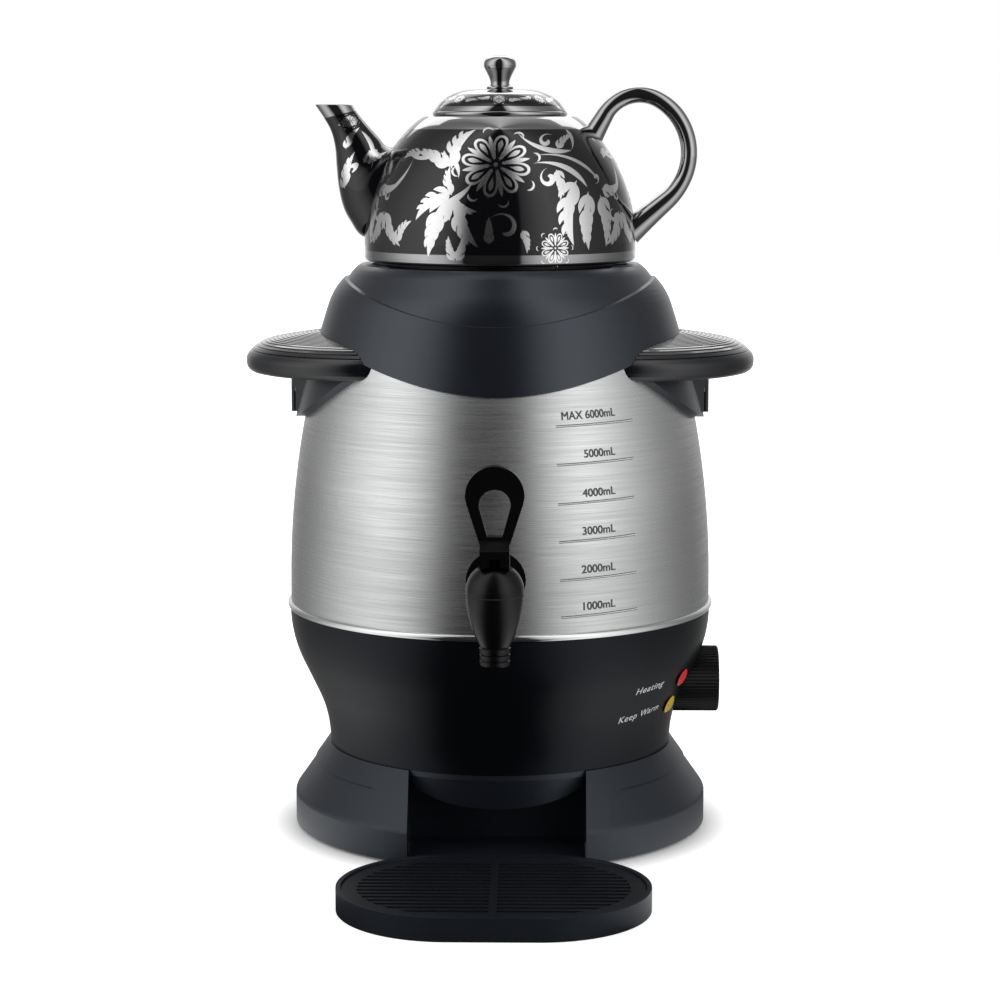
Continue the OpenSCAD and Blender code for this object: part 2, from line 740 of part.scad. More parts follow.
module collar() color("#2a2d36") {
    under = rim_z + 2;
    deck = collar_top - deck_t;
    rib_r = tank_rim_r - 6;
    difference() {
        collar_blank(0);
        tank_form(-collar_gap, 0, rim_z + 0.4);
        // room over the boiler's rim, and the two hollows under the deck
        cylinder(r = tank_rim_r - 1, h = under);
        difference() {
            rotate_extrude() polygon([
                [mouth_r + throat_wall, under - tiny], [shoulder_start[0] - collar_wall - 1, under - tiny],
                [crest_start[0] - collar_wall - 2, deck - collar_wall], [mouth_r + throat_wall, deck - collar_wall]]);
            ring(rib_r - 1.5, rib_r + 1.5, 0, big);
        }
        // throat and the recess of the filling lid
        cylinder(r = mouth_r, h = big);
        translate([0, 0, collar_top - deck_t]) cylinder(r = lid_recess_r, h = big);
    }
    // throat wall that hangs into the boiler's mouth
    ring(mouth_r, mouth_r + throat_wall, rim_z - 6, under + 1);
}

module collar_gasket() color("#b8b8b0") {
    ring(tank_rim_r - 8.4, tank_rim_r - 2, rim_z, rim_z + 2);
}

lid_flange_t = deck_t - 0.3;
lid_z = collar_top - deck_t;
lid_plug_r = mouth_r - 1.2;
plate_z = lid_z + lid_flange_t;
plate_rise = 2.3;
vent_r = 28;
groove_z = lid_z - 5;

module filler_lid() color("#1c1e22") {
    difference() {
        union() {
            translate([0, 0, lid_z]) cylinder(r = lid_recess_r - fit, h = lid_flange_t);
            ring(lid_plug_r - 3, lid_plug_r, lid_z - 9, lid_z + 1);
        }
        cylinder(r = vent_r, h = big);
        ring(lid_plug_r - 1, lid_plug_r + 5, groove_z - 1.5, groove_z + 1.5);
        // finger notches
        for (s = [-1, 1]) translate([s * (lid_recess_r - 1), 0, 0]) cylinder(r = 6, h = big, $fn = 48);
    }
}

module lid_gasket() color("#c9c9c2") {
    ring(lid_plug_r - 1, mouth_r - 0.15, groove_z - 1.4, groove_z + 1.4);
}

module steam_plate() color("#202125") {
    rim_r = lid_recess_r - 9;
    difference() {
        union() {
            translate([0, 0, plate_z]) cylinder(r = rim_r, h = 1);
            ring(rim_r - 4, rim_r, plate_z, plate_z + plate_rise);
        }
        for (n = [[0, 1], [9, 6], [18, 12]], i = [0:n[1] - 1]) rotate(360 * i / n[1]) translate([n[0], 0, 0]) cylinder(r = 2.2, h = big, $fn = 32);
    }
}

// ---- carrying handles ----

grip_x = tank_r - grip_set;
grip_z = edge_z - 22.5;
grip_low_r = 5;
grip_edge_r = 5;
brow_r = 20;
brow_lean = 55;
crown_r = 330;
bracket_x = tank_r - 1.4;
bracket_z = grip_z - bracket_h;
grip_screw_x = bracket_x - 6;
grip_screw_y = 10;
screw_grip = 9;
screw_bite = 6;
bolt_levels = [grip_z - 7, grip_z - 18];
bolt_end = tank_r - 7;

// The domed top of the handle plate: a flat crown, a rounder brow and a tight edge, tangent to each other.
grip_edge = [grip_r - grip_edge_r, grip_z + grip_t - grip_edge_r * cos(brow_lean)];
brow_end = grip_edge + grip_edge_r * [sin(brow_lean), cos(brow_lean)];
brow = brow_end - brow_r * [sin(brow_lean), cos(brow_lean)];
crown_drop = crown_r - brow_r;
crown = [0, brow[1] - sqrt(pow(crown_drop, 2) - pow(brow[0], 2))];
crown_lean = asin(brow[0] / crown_drop);

// Slope and height of the plate's top at distance r from its centre.
function top_lean(r) = r < crown_r * sin(crown_lean) ? asin(r / crown_r) : asin((r - brow[0]) / brow_r);
function top_z(r) = r < crown_r * sin(crown_lean)
    ? crown[1] + crown_r * cos(top_lean(r))
    : brow[1] + brow_r * cos(top_lean(r));

// A point near the top at distance r, moved along the slope and sunk below the skin.
function on_top(r, along, sunk) = let (a = top_lean(r))
    [r, top_z(r)] + along * [cos(a), -sin(a)] - sunk * [sin(a), cos(a)];

// The handle plate, turned about its own centre, with fine ribs on the top and a flat underside.
module grip_plate() {
    rib_first = 34;
    groove = rib_pitch * 0.3;
    slant = 0.3;
    depth = 0.6;
    ribs = floor((brow_end[0] - groove - slant - rib_first) / rib_pitch);
    low = [grip_r - grip_low_r, grip_z + grip_low_r];
    rotate_extrude($fn = 180) polygon([
        [0, grip_z],
        for (k = [0:4]) low + grip_low_r * [sin(90 * k / 4), -cos(90 * k / 4)],
        for (k = [0:5]) let (a = 90 + k / 5 * (brow_lean - 90)) grip_edge + grip_edge_r * [sin(a), cos(a)],
        for (i = [ribs:-1:0]) let (r = rib_first + i * rib_pitch) each [
            on_top(r, groove, 0), on_top(r, groove - slant, depth),
            on_top(r, slant - groove, depth), on_top(r, -groove, 0)],
        [0, top_z(0)]]);
}

module side_handle() {
    difference() {
        translate([grip_x, 0, 0]) grip_plate();
        tank_form(0, 0, rim_z);
        collar_blank(fit);
        for (y = [-1, 1]) translate([grip_screw_x, y * grip_screw_y, 0]) cylinder(r = 1.9, h = grip_z + screw_bite + 1, $fn = 32);
    }
}

// The bracket: a keel-shaped flange that hugs the boiler's wall, and a narrower nose in its middle.
module side_bracket() {
    flange = 5;
    keel_r = 110;
    nose_r = 68;
    nose_rise = 2.5;
    nose_side = [90, 60];
    difference() {
        union() {
            intersection() {
                translate([0, 0, bracket_z]) cylinder(r1 = wall_r(bracket_z, -flange), r2 = wall_r(grip_z, -flange),
                    h = bracket_h, $fn = 180);
                translate([grip_x, 0, 0]) cylinder(r = grip_r - 1.5, h = big, $fn = 180);
                rod_x(tank_r / 3, big, 0, bracket_z + keel_r, keel_r, 180);
            }
            intersection() {
                translate([0, 0, bracket_z]) linear_extrude(bracket_h) polygon([
                    [tank_r / 2, -nose_side[1]], [nose_side[0], -nose_side[1]],
                    [bracket_x - 2.2, -11.5], [bracket_x - 0.6, -9], [bracket_x, -6.5],
                    [bracket_x, 6.5], [bracket_x - 0.6, 9], [bracket_x - 2.2, 11.5],
                    [nose_side[0], nose_side[1]], [tank_r / 2, nose_side[1]]]);
                rod_x(0, big, 0, bracket_z + nose_rise + nose_r, nose_r, 180);
            }
        }
        tank_form(0, 0, rim_z);
        collar_blank(fit);
        for (y = [-1, 1]) {
            translate([grip_screw_x, y * grip_screw_y, 0]) cylinder(r = 2.2, h = big, $fn = 32);
            translate([grip_screw_x, y * grip_screw_y, 0]) cylinder(r = 4.2, h = grip_z - screw_grip, $fn = 32);
        }
        for (z = bolt_levels) rod_x(tank_r / 2, bolt_end + 0.6, 0, z, 2.1, 32);
    }
}

module left_handle() color("#17181b") mirror([1, 0, 0]) side_handle();

module right_handle() color("#17181b") side_handle();

module left_bracket() color("#1b1c20") mirror([1, 0, 0]) side_bracket();

module right_bracket() color("#1b1c20") side_bracket();

module handle_screws() color("silver") {
    head_t = 2.2;
    for (s = [-1, 1], y = [-1, 1]) translate([s * grip_screw_x, y * grip_screw_y, grip_z - screw_grip]) {
        cylinder(r = 1.85, h = screw_grip + screw_bite, $fn = 32);
        translate([0, 0, -head_t]) cylinder(r = 3.9, h = head_t, $fn = 32);
    }
}

module bracket_bolts() color("silver") {
    head_r = 4;
    for (s = [0, 1], z = bolt_levels) mirror([s, 0, 0]) {
        face = sqrt(pow(wall_r(z + head_r, tank_wall), 2) - pow(head_r, 2));
        rod_x(face - 1, bolt_end, 0, z, 2, 32);
        rod_x(face - 3.6, face - 0.3, 0, z, head_r, 32);
    }
}

// ---- tap ----

seam_z = tap_z - 2.7;
egg_low = seam_z - egg_h;
bonnet_top = seam_z + bonnet_h;
chamber_r = 9.5;
seat_z = tap_z - 12;
flange_r = 15.8;
flange_y = tank_r + 2.5;
flange_t = 4;
barrel_r = 9;
shank_end = tank_r - 17;
pivot_z = bonnet_top + pivot_h;
pin_r = 1.5;

// Places a child on the spindle's axis.
module at_spindle() {
    translate([0, -tap_reach, 0]) children();
}

// The egg's outline, from the outlet to the bonnet's flat top: a long arc below its widest place and a
// shorter one above it.
module egg_form(z0, z1) {
    low_r = outlet_r - 0.6;
    wide_z = seam_z + 2;
    belly = (pow(wide_z - egg_low, 2) + pow(egg_r - low_r, 2)) / (2 * (egg_r - low_r));
    top_r = egg_r - 6;
    dome = (pow(bonnet_top - wide_z, 2) + pow(egg_r - top_r, 2)) / (2 * (egg_r - top_r));
    intersection() {
        turned([[0, egg_low], [low_r, egg_low], [egg_r, wide_z], [top_r, bonnet_top], [0, bonnet_top]],
            [[[egg_r - belly, wide_z], belly, egg_low, wide_z], [[egg_r - dome, wide_z], dome, wide_z, bonnet_top]]);
        translate([0, 0, z0]) cylinder(r = 2 * egg_r, h = z1 - z0);
    }
}

module tap_body() color("#0d0e10") {
    difference() {
        union() {
            at_spindle() egg_form(egg_low, seam_z);
            rod_front(flange_y, tap_reach, 0, tap_z - 5.5, barrel_r, 64);
            rod_front(flange_y, flange_y + flange_t, 0, tap_z, flange_r, 96);
            rod_front(shank_end, flange_y + 1, 0, tap_z, thread_r, 64);
        }
        // valve chamber, seat and outlet
        at_spindle() {
            translate([0, 0, seat_z]) cylinder(r = chamber_r, h = big, $fn = 64);
            translate([0, 0, egg_low - 1]) cylinder(r = outlet_bore_r, h = big, $fn = 64);
            translate([0, 0, seam_z]) cylinder(r = egg_r, h = big);
        }
        rod_front(shank_end - 1, tap_reach, 0, tap_z - 2.4, 5);
    }
}

module tap_gasket() color("#8d8f8f") {
    difference() {
        rod_front(tank_r - 6, flange_y, 0, tap_z, flange_r - 1, 180);
        rod_front(0, big, 0, tap_z, thread_r + 0.1, 120);
        tank_form(0, 0, rim_z);
    }
}

nut_y = tank_r - tank_wall - 4.1;

module tap_inner_gasket() color("#8d8f8f") {
    difference() {
        intersection() {
            rod_front(nut_y, tank_r, 0, tap_z, 14, 180);
            tank_form(tank_wall, wall_z, rim_z);
        }
        rod_front(0, big, 0, tap_z, thread_r + 0.1, 120);
    }
}

module tap_nut() color("#c9b266") {
    difference() {
        translate([0, -nut_y, tap_z]) rotate([-90, 0, 0]) cylinder(r = 14, h = 6.5, $fn = 6);
        rod_front(0, big, 0, tap_z, thread_r);
    }
}

module tap_nozzle() color("#121316") {
    z0 = egg_low - outlet_h;
    at_spindle() difference() {
        rotate_extrude($fn = 72) polygon([
            [outlet_bore_r, z0], [outlet_r - 0.8, z0], [outlet_r - 0.3, z0 + 0.6],
            [outlet_r - 0.3, z0 + 2.6], [outlet_r - 0.9, z0 + 3], [outlet_r - 0.9, z0 + 3.5], [outlet_r - 0.2, z0 + 3.9],
            [outlet_r - 0.2, z0 + 5.8], [outlet_r - 0.9, z0 + 6.2], [outlet_r - 0.9, z0 + 6.7], [outlet_r, z0 + 7.1],
            [outlet_r, z0 + outlet_h - 0.5], [outlet_r - 0.6, z0 + outlet_h], [outlet_bore_r, z0 + outlet_h]]);
    }
}

module tap_bonnet() color("#0f1012") {
    skirt = 3.4;
    skirt_r = chamber_r - 0.1;
    at_spindle() difference() {
        union() {
            egg_form(seam_z, bonnet_top);
            translate([0, 0, seam_z - skirt]) cylinder(r = skirt_r, h = skirt + 1, $fn = 64);
        }
        translate([0, 0, seam_z - skirt - 1]) cylinder(r = skirt_r - 1.5, h = bonnet_h - 4 + skirt + 1, $fn = 64);
        cylinder(r = spindle_r + run, h = big, $fn = 48);
    }
}

seal_t = 2.4;
spindle_plate = seat_z + seal_t;
spring_low = spindle_plate + 1.6;
spring_high = seam_z + bonnet_h - 4;

module tap_spindle() color("#161618") {
    eye_r = 3.2;
    at_spindle() difference() {
        union() {
            translate([0, 0, spindle_plate]) cylinder(r = 6.4, h = 1.6, $fn = 48);
            translate([0, 0, seat_z + 0.3]) cylinder(r = spindle_r, h = pivot_z - seat_z - 0.3, $fn = 48);
            rod_x(-spindle_r, spindle_r, 0, pivot_z, eye_r);
        }
        rod_x(-big, big, 0, pivot_z, pin_r, 32);
    }
}

module tap_seal() color("#dedbd2") {
    at_spindle() difference() {
        translate([0, 0, seat_z + 0.02]) cylinder(r = 6.8, h = seal_t - 0.04, $fn = 48);
        cylinder(r = spindle_r, h = big, $fn = 48);
    }
}

module tap_spring() color("#d0d2d4") {
    coil_r = 4.6;
    steel_r = 0.45;
    turns = 5;
    steps = 18;
    z0 = spring_low + steel_r + 0.05;
    rise = spring_high - spring_low - 2 * steel_r - 0.1;
    lean = atan2(rise / turns, 2 * PI * coil_r);
    at_spindle() loft([for (i = [0:turns * steps]) let (a = 360 * i / steps)
        [for (k = [0:5]) let (b = 60 * k)
            [cos(a) * (coil_r + steel_r * cos(b)) + sin(a) * sin(lean) * steel_r * sin(b),
             sin(a) * (coil_r + steel_r * cos(b)) - cos(a) * sin(lean) * steel_r * sin(b),
             z0 + rise * i / (turns * steps) + steel_r * cos(lean) * sin(b)]]]);
}

block_w = 15.4;
block_back = 8;
block_top = 8.6;

module tap_pin() color("#d0d2d4") {
    at_spindle() rod_x(-block_w / 2 + 0.4, block_w / 2 - 0.4, 0, pivot_z, pin_r, 32);
}

// Point where the line from the corner b touches the circle about [0, c], on b's side.
function touch(b, c, r) =
    let (d = b - [0, c], l = norm(d), base = atan2(d[1], d[0]), open = acos(r / l), s = b[0] > 0 ? 1 : -1)
    [0, c] + r * [cos(base + s * open), sin(base + s * open)];

// A teardrop: a circle whose two tangents run down to a flat of half width w at height 0.
module teardrop(w, c, r) {
    union() {
        translate([0, c]) circle(r = r, $fn = 72);
        polygon([[-w, 0], [w, 0], touch([w, 0], c, r), touch([-w, 0], c, r)]);
    }
}

// The lever's heel: its distance from the pivot grows by cam_rate for each radian, so that
// the flat bonnet lifts the spindle evenly.
function heel(a) = let (h = pivot_h + cam_rate * a * PI / 180)
    [-(h * sin(a) + cam_rate * cos(a)), -h * cos(a) + cam_rate * sin(a)];

module tap_lever() color("#0b0b0d") {
    lift_gap = 0.08;
    steps = 8;
    tip = heel(lever_travel);
    leg = block_w / 2 + 0.3;
    hole_r = ring_r - 7;
    translate([0, -tap_reach, pivot_z]) difference() {
        union() {
            // block with the cam-shaped heel, seen from the side
            rotate([90, 0, 90]) translate([0, 0, -block_w / 2]) linear_extrude(block_w) polygon(concat(
                [[block_back, -pivot_h + lift_gap]],
                [for (i = [0:steps]) heel(lever_travel * i / steps) + [0, lift_gap]],
                [[tip[0], 4], [-ring_t / 2, block_top], [ring_t / 2, block_top], [block_back, 5]]));
            // ring
            rotate([90, 0, 0]) translate([0, block_top - 1.5, -ring_t / 2]) linear_extrude(ring_t)
                teardrop(leg, ring_rise - block_top + 1.5, ring_r);
        }
        // finger hole
        rotate([90, 0, 0]) translate([0, block_top + 2, -ring_t]) linear_extrude(2 * ring_t)
            teardrop(3.9, ring_rise - block_top - 7, hole_r);
        // slot for the spindle, open to the bottom and the front
        translate([-spindle_r - 0.3, 0, 0]) {
            translate([0, -20, -20]) cube([2 * spindle_r + 0.6, 20 + 3.6, 20]);
            rotate([0, 90, 0]) cylinder(r = 3.6, h = 2 * spindle_r + 0.6, $fn = 48);
        }
        rotate([0, 90, 0]) translate([0, 0, -block_w]) cylinder(r = pin_r + run, h = 2 * block_w, $fn = 32);
    }
}

// ---- drip tray ----

tray_y = foot_r + tray_gap + tray_r;
grille_gap = 0.4;
grille_z = tray_h - 1 - grille_t;
shelf = 3.5;
slide = 0.5;            // clearance on each side of the docking tongue
tongue_w = bay_w - 2 * slide;
tongue_t = 5;
tongue_end = bay_back + 0.2;

module drip_tray() color("#1d1f24") {
    difference() {
        union() {
            translate([0, -tray_y, 0]) linear_extrude(tray_h) stadium(tray_half, tray_r);
            translate([-tongue_w / 2, -tray_y, 0]) cube([tongue_w, tray_y - tongue_end, tongue_t]);
        }
        translate([0, -tray_y, grille_z]) linear_extrude(tray_h) stadium(tray_half, tray_r - tray_wall);
        translate([0, -tray_y, 2]) linear_extrude(tray_h) stadium(tray_half, tray_r - tray_wall - shelf);
    }
}

module drip_grille() color("#15161a") {
    border = 8;
    r = tray_r - tray_wall - grille_gap;
    rows = floor((r - border) / slot_pitch);
    translate([0, -tray_y, grille_z]) linear_extrude(grille_t) difference() {
        stadium(tray_half, r);
        intersection() {
            stadium(tray_half, r - border);
            for (i = [-rows:rows], s = [-1, 1]) translate([s > 0 ? 2 : -2 - 2 * tray_r, i * slot_pitch - slot_w / 2])
                square([2 * tray_r, slot_w]);
        }
    }
}

// ---- teapot ----

pot_z = plate_z + plate_rise;
lid_seat = pot_z + pot_h;
strainer_z = 36;
side_arc = 1.18 * pot_r;
neck_arc = 0.66 * pot_r;
neck_h = 0.9 * pot_h;
neck_lean = asin((neck_h - pot_side_h) / side_arc);
neck = inside([pot_r - side_arc * (1 - cos(neck_lean)), neck_h], neck_lean, neck_arc);

// Radius of the pot at height h above its foot, measured inset deep below its face.
function pot_outline(h, inset = 0) =
    h < pot_side_h ? pot_r - inset
    : h < pot_side_h + (side_arc - inset) * sin(neck_lean)
        ? pot_r - side_arc + sqrt(pow(side_arc - inset, 2) - pow(h - pot_side_h, 2))
    : neck[0] + sqrt(pow(neck_arc - inset, 2) - pow(h - neck[1], 2));

seat_r = pot_outline(pot_h);

// The pot's form: an upright side, a long arc and a rounder neck, shrunk by inset, from h0 to h1.
module pot_form(inset, h0, h1) {
    round_r = inset > 0 ? 5 : 2.5;
    low = [pot_r - inset - round_r, h0 + round_r];
    turn_h = pot_side_h + (side_arc - inset) * sin(neck_lean);
    translate([0, 0, pot_z]) turned([[0, h0], [low[0], h0], [pot_r - inset, low[1]], [pot_r - inset, pot_side_h],
            [pot_outline(turn_h, inset), turn_h], [pot_outline(h1, inset), h1], [0, h1]],
        [[low, round_r, h0, low[1]], [[pot_r - side_arc, pot_side_h], side_arc - inset, pot_side_h, turn_h],
         [neck, neck_arc - inset, turn_h, h1]]);
}

module teapot_body() color("#14151a") {
    difference() {
        pot_form(0, 0, pot_h);
        pot_form(pot_wall, pot_wall + 1.5, pot_h - 3.4);
        // mouth, cut through the dome only
        translate([0, 0, pot_z + pot_h / 2]) cylinder(r = pot_mouth_r, h = big);
        // recess inside the foot ring
        cylinder(r = pot_r - 18, h = pot_z + 1.5);
        // strainer holes into the spout
        for (n = [[0, 1], [7.5, 6]], i = [0:n[1] - 1]) let (a = 360 * i / n[1])
            rod_x(-big, -30, n[0] * cos(a), pot_z + strainer_z + n[0] * sin(a), 1.9, 24);
    }
}

// Lower and upper edge of the spout from its root to its lip, as [x, height], and its half width.
spout_rows = [
    [[-60, 14], [-36, 64], 23], [[-76.6, 13], [-48, 64], 22], [[-84.5, 22.5], [-57, 64], 20.5], [[-88.5, 31], [-61, 63], 18.8],
    [[-90.8, 42], [-64.5, 64.2], 16.2], [[-91.8, 53], [-68.5, 69], 13.6], [[-92.5, 63], [-73, 74], 11.4],
    [[-94.5, 71.5], [-77, 78.5], 9.8], [[-98, 78.3], [-80.5, 83], 8.8], [[-103.5, 86.6], [-82.8, 86.6], 8]];

// Rings of the spout, shrunk by inset; each is an ellipse between its lower and upper edge.
function spout_rings(inset, sides = 24) = [for (row = spout_rows)
    let (c = (row[0] + row[1]) / 2, d = (row[1] - row[0]) / 2, a = norm(d), u = d / a)
    [for (k = [0:sides - 1]) let (w = 360 * k / sides, p = c + u * (a - inset) * cos(w))
        [p[0] * pot_r / 76, (row[2] - inset) * sin(w), pot_z + p[1] * pot_h / 80]]];

module teapot_spout() color("#14151a") {
    difference() {
        loft(spout_rings(0));
        difference() {
            translate([0, 0, tiny]) loft(spout_rings(3));
            translate([0, 0, pot_z]) cylinder(r = 10, h = 10);
        }
        pot_form(0, 0, pot_h);
    }
}

ear_start = [72.5, 15.6];
ear_heading = 40.4;
ear_bends = [[28, 0, 0], [0, 34.2, 108.4], [0, 22, 90.8], [16, 0, 0]];
ear_root = 3;
ear_tip = 1.8;

// Point and heading at the fraction t of the bend that starts at p; a bend is [straight length, radius, angle].
function ear_step(p, b, t) = let (h = p[2]) b[1] == 0
    ? [p[0] + b[0] * t * cos(h), p[1] + b[0] * t * sin(h), h]
    : [p[0] + b[1] * (sin(h + b[2] * t) - sin(h)), p[1] - b[1] * (cos(h + b[2] * t) - cos(h)), h + b[2] * t];

// Point and heading where bend i starts.
function ear_at(i) = i == 0 ? [ear_start[0], ear_start[1], ear_heading] : ear_step(ear_at(i - 1), ear_bends[i - 1], 1);

// Stations along the handle, close together in the bends.
function ear_stations() = concat(
    [for (i = [0:len(ear_bends) - 1]) let (n = ear_bends[i][1] == 0 ? 4 : 16) for (k = [0:n - 1]) ear_step(ear_at(i), ear_bends[i], k / n)],
    [ear_at(len(ear_bends))]);

// Radius of the handle at the fraction u of its stations: thicker where it joins the pot.
function ear_thick(u) = ear_r + ear_root * pow(max(0, 1 - u / 0.2), 2) + ear_tip * pow(max(0, 1 - (1 - u) / 0.16), 2);

module teapot_handle() color("silver") {
    p = ear_stations();
    sides = 24;
    size = pot_r / 76;
    difference() {
        loft([for (i = [0:len(p) - 1]) let (h = p[i][2], r = ear_thick(i / (len(p) - 1)))
            [for (k = [0:sides - 1]) let (a = 360 * k / sides)
                [size * (p[i][0] - r * cos(a) * sin(h)), size * r * sin(a), pot_z + pot_h / 80 * (p[i][1] + r * cos(a) * cos(h))]]]);
        pot_form(0, 0, pot_h);
        translate([0, 0, lid_seat - 1]) cylinder(r = seat_r, h = 20);
    }
}

// The lid: a rolled rim, a domed cover, and a knob on a waisted neck.
module teapot_lid() color("#16171c") {
    rim_h = 3;
    cover_h = 15;
    cover_arc = 0.68 * pot_lid_r;
    roll_r = rim_h / 2;
    plug_r = pot_mouth_r - 0.6;
    cover_z = cover_h - cover_arc;
    rim_in = pot_lid_r - 0.8;
    cover_x = rim_in - sqrt(pow(cover_arc, 2) - pow(rim_h - cover_z, 2));
    waist_h = 19;
    head_h = 28.7;
    head_arc = 20;
    cap_r = 4.7;
    top_h = 34;
    waist_r = finial_r - head_arc + sqrt(pow(head_arc, 2) - pow(head_h - waist_h, 2));
    foot_ring = waist_r + 1;
    difference() {
        translate([0, 0, lid_seat + 0.02]) turned([[0, 0], [pot_lid_r - roll_r, 0], [pot_lid_r - roll_r, rim_h],
                [rim_in, rim_h], [cover_x, cover_h], [foot_ring, cover_h], [foot_ring, cover_h + 1.2],
                [waist_r, cover_h + 2], [waist_r, waist_h], [finial_r, head_h], [finial_r - cap_r, head_h + cap_r],
                [0, top_h]],
            [[[pot_lid_r - roll_r, roll_r], roll_r, 0, rim_h], [[cover_x, cover_z], cover_arc, rim_h, cover_h],
             [[finial_r - head_arc, head_h], head_arc, waist_h, head_h],
             [[finial_r - cap_r, head_h], cap_r, head_h, top_h],
             [[0, top_h - head_arc], head_arc, head_h + cap_r - 0.5, top_h]]);
        // hollow underside
        translate([0, 0, lid_seat - 1]) rotate_extrude() polygon([
            [0, 0], [plug_r - 3, 0], [plug_r - 3, rim_h + 3], [plug_r - 10, cover_h - 6], [0, cover_h - 4]]);
        // steam hole
        translate([plug_r * 0.55, 0, lid_seat]) cylinder(r = 1.4, h = big, $fn = 24);
    }
    ring(plug_r - 3, plug_r, lid_seat - 9, lid_seat + 2);
}

base_skirt();
base_plate();
rubber_feet();
base_screws();
lower_housing();
cord_gland();
terminal_block();
wire_harness();
bead_ring();
steel_body();
tank_floor();
heat_plate();
heating_element();
thermal_cutout();
thermostat();
thermostat_nut();
knob_shaft();
control_knob();
red_lens();
amber_lens();
lamp_holders();
collar();
collar_gasket();
filler_lid();
lid_gasket();
steam_plate();
left_handle();
right_handle();
left_bracket();
right_bracket();
handle_screws();
bracket_bolts();
tap_body();
tap_gasket();
tap_inner_gasket();
tap_nut();
tap_nozzle();
tap_bonnet();
tap_spindle();
tap_seal();
tap_spring();
tap_pin();
tap_lever();
drip_tray();
drip_grille();
teapot_body();
teapot_spout();
teapot_handle();
teapot_lid();
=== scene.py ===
# %% [markdown]
# # Dressing an electric samovar
# The construction model arrives as a fixed frame: every body, node and joint is already in its place. This
# script adds what the eye needs. It gives each node a finish, makes the glazed teapot, its silver scrollwork
# and the printed level marks as smooth surfaces, and sets up a plain studio. Places are in metres; outlines
# and flat drawings are in millimetres, and are scaled when they are laid out.

# %% Load the frame
import json
import math
import bpy
import bmesh
import numpy as np
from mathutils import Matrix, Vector


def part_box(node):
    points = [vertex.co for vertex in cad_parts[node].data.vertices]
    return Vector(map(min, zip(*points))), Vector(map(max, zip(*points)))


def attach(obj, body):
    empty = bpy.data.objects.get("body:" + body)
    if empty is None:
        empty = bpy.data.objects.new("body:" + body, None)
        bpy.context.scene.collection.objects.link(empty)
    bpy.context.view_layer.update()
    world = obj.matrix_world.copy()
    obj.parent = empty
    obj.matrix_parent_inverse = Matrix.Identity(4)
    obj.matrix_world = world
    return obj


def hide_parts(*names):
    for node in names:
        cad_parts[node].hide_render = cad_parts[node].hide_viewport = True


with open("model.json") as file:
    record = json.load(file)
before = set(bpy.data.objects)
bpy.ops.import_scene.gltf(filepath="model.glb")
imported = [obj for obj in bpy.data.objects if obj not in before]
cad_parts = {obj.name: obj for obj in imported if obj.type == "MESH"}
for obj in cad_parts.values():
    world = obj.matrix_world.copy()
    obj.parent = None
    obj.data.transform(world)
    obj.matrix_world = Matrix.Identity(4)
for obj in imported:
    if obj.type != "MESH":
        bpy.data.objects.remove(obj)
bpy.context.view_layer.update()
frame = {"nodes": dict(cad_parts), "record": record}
nodes = frame["nodes"]
MM = 0.001

# %% [markdown]
# ## Shared shader effects
# Three effects come back in many finishes, so each is a node group with named sockets, built once. Grain breaks
# up moulded plastic, Brushing draws the fine lines that run round a drum, and Smudge makes gloss a little
# uneven. A group gives out values only; the shader, its bump and its plain numbers stay in the material, where
# an export can read them.

# %% Helpers for node trees
def put(tree, kind, **settings):
    """Adds a node; settings name its properties, or its inputs where there is no such property."""
    n = tree.nodes.new(kind)
    for key, value in settings.items():
        if hasattr(n, key):
            setattr(n, key, value)
        else:
            label = key.replace("_", " ").lower()
            next(i for i in n.inputs if i.name.lower() == label).default_value = value
    return n


def join(tree, a, b):
    """Links output a to input b."""
    tree.links.new(a, b)


def math_node(tree, op, *values):
    """A Math node; values are sockets or numbers."""
    n = put(tree, "ShaderNodeMath", operation=op)
    for x, socket in zip(values, n.inputs):
        if isinstance(x, (int, float)):
            socket.default_value = x
        else:
            join(tree, x, socket)
    return n.outputs[0]


def times(tree, a, b):
    """A Math node that multiplies."""
    return math_node(tree, "MULTIPLY", a, b)


def map_range(tree, value, **ends):
    """Maps From_Min..From_Max onto To_Min..To_Max, which are 0 and 1 where they aren't named."""
    n = put(tree, "ShaderNodeMapRange", **ends)
    join(tree, value, n.inputs["Value"])
    return n.outputs["Result"]


def coordinates(tree):
    """The Object coordinates, which are metres in the frame."""
    return tree.nodes.new("ShaderNodeTexCoord").outputs["Object"]


def split_xyz(tree, vector):
    """The X, Y and Z outputs of a Separate XYZ node."""
    n = tree.nodes.new("ShaderNodeSeparateXYZ")
    join(tree, vector, n.inputs[0])
    return n.outputs


def angle_round(tree, parts):
    """The angle round the axis from the front, to the right: atan2(x, -y)."""
    return math_node(tree, "ARCTAN2", parts["X"], times(tree, parts["Y"], -1.0))


def ramp(tree, value, stops):
    """A colour ramp through stops of (place, grey level)."""
    n = tree.nodes.new("ShaderNodeValToRGB")
    while len(n.color_ramp.elements) < len(stops):
        n.color_ramp.elements.new(0.5)
    for e, (at, grey) in zip(n.color_ramp.elements, stops):
        e.position = at
        e.color = (grey, grey, grey, 1)
    tree.links.new(value, n.inputs[0])
    return n.outputs[0]


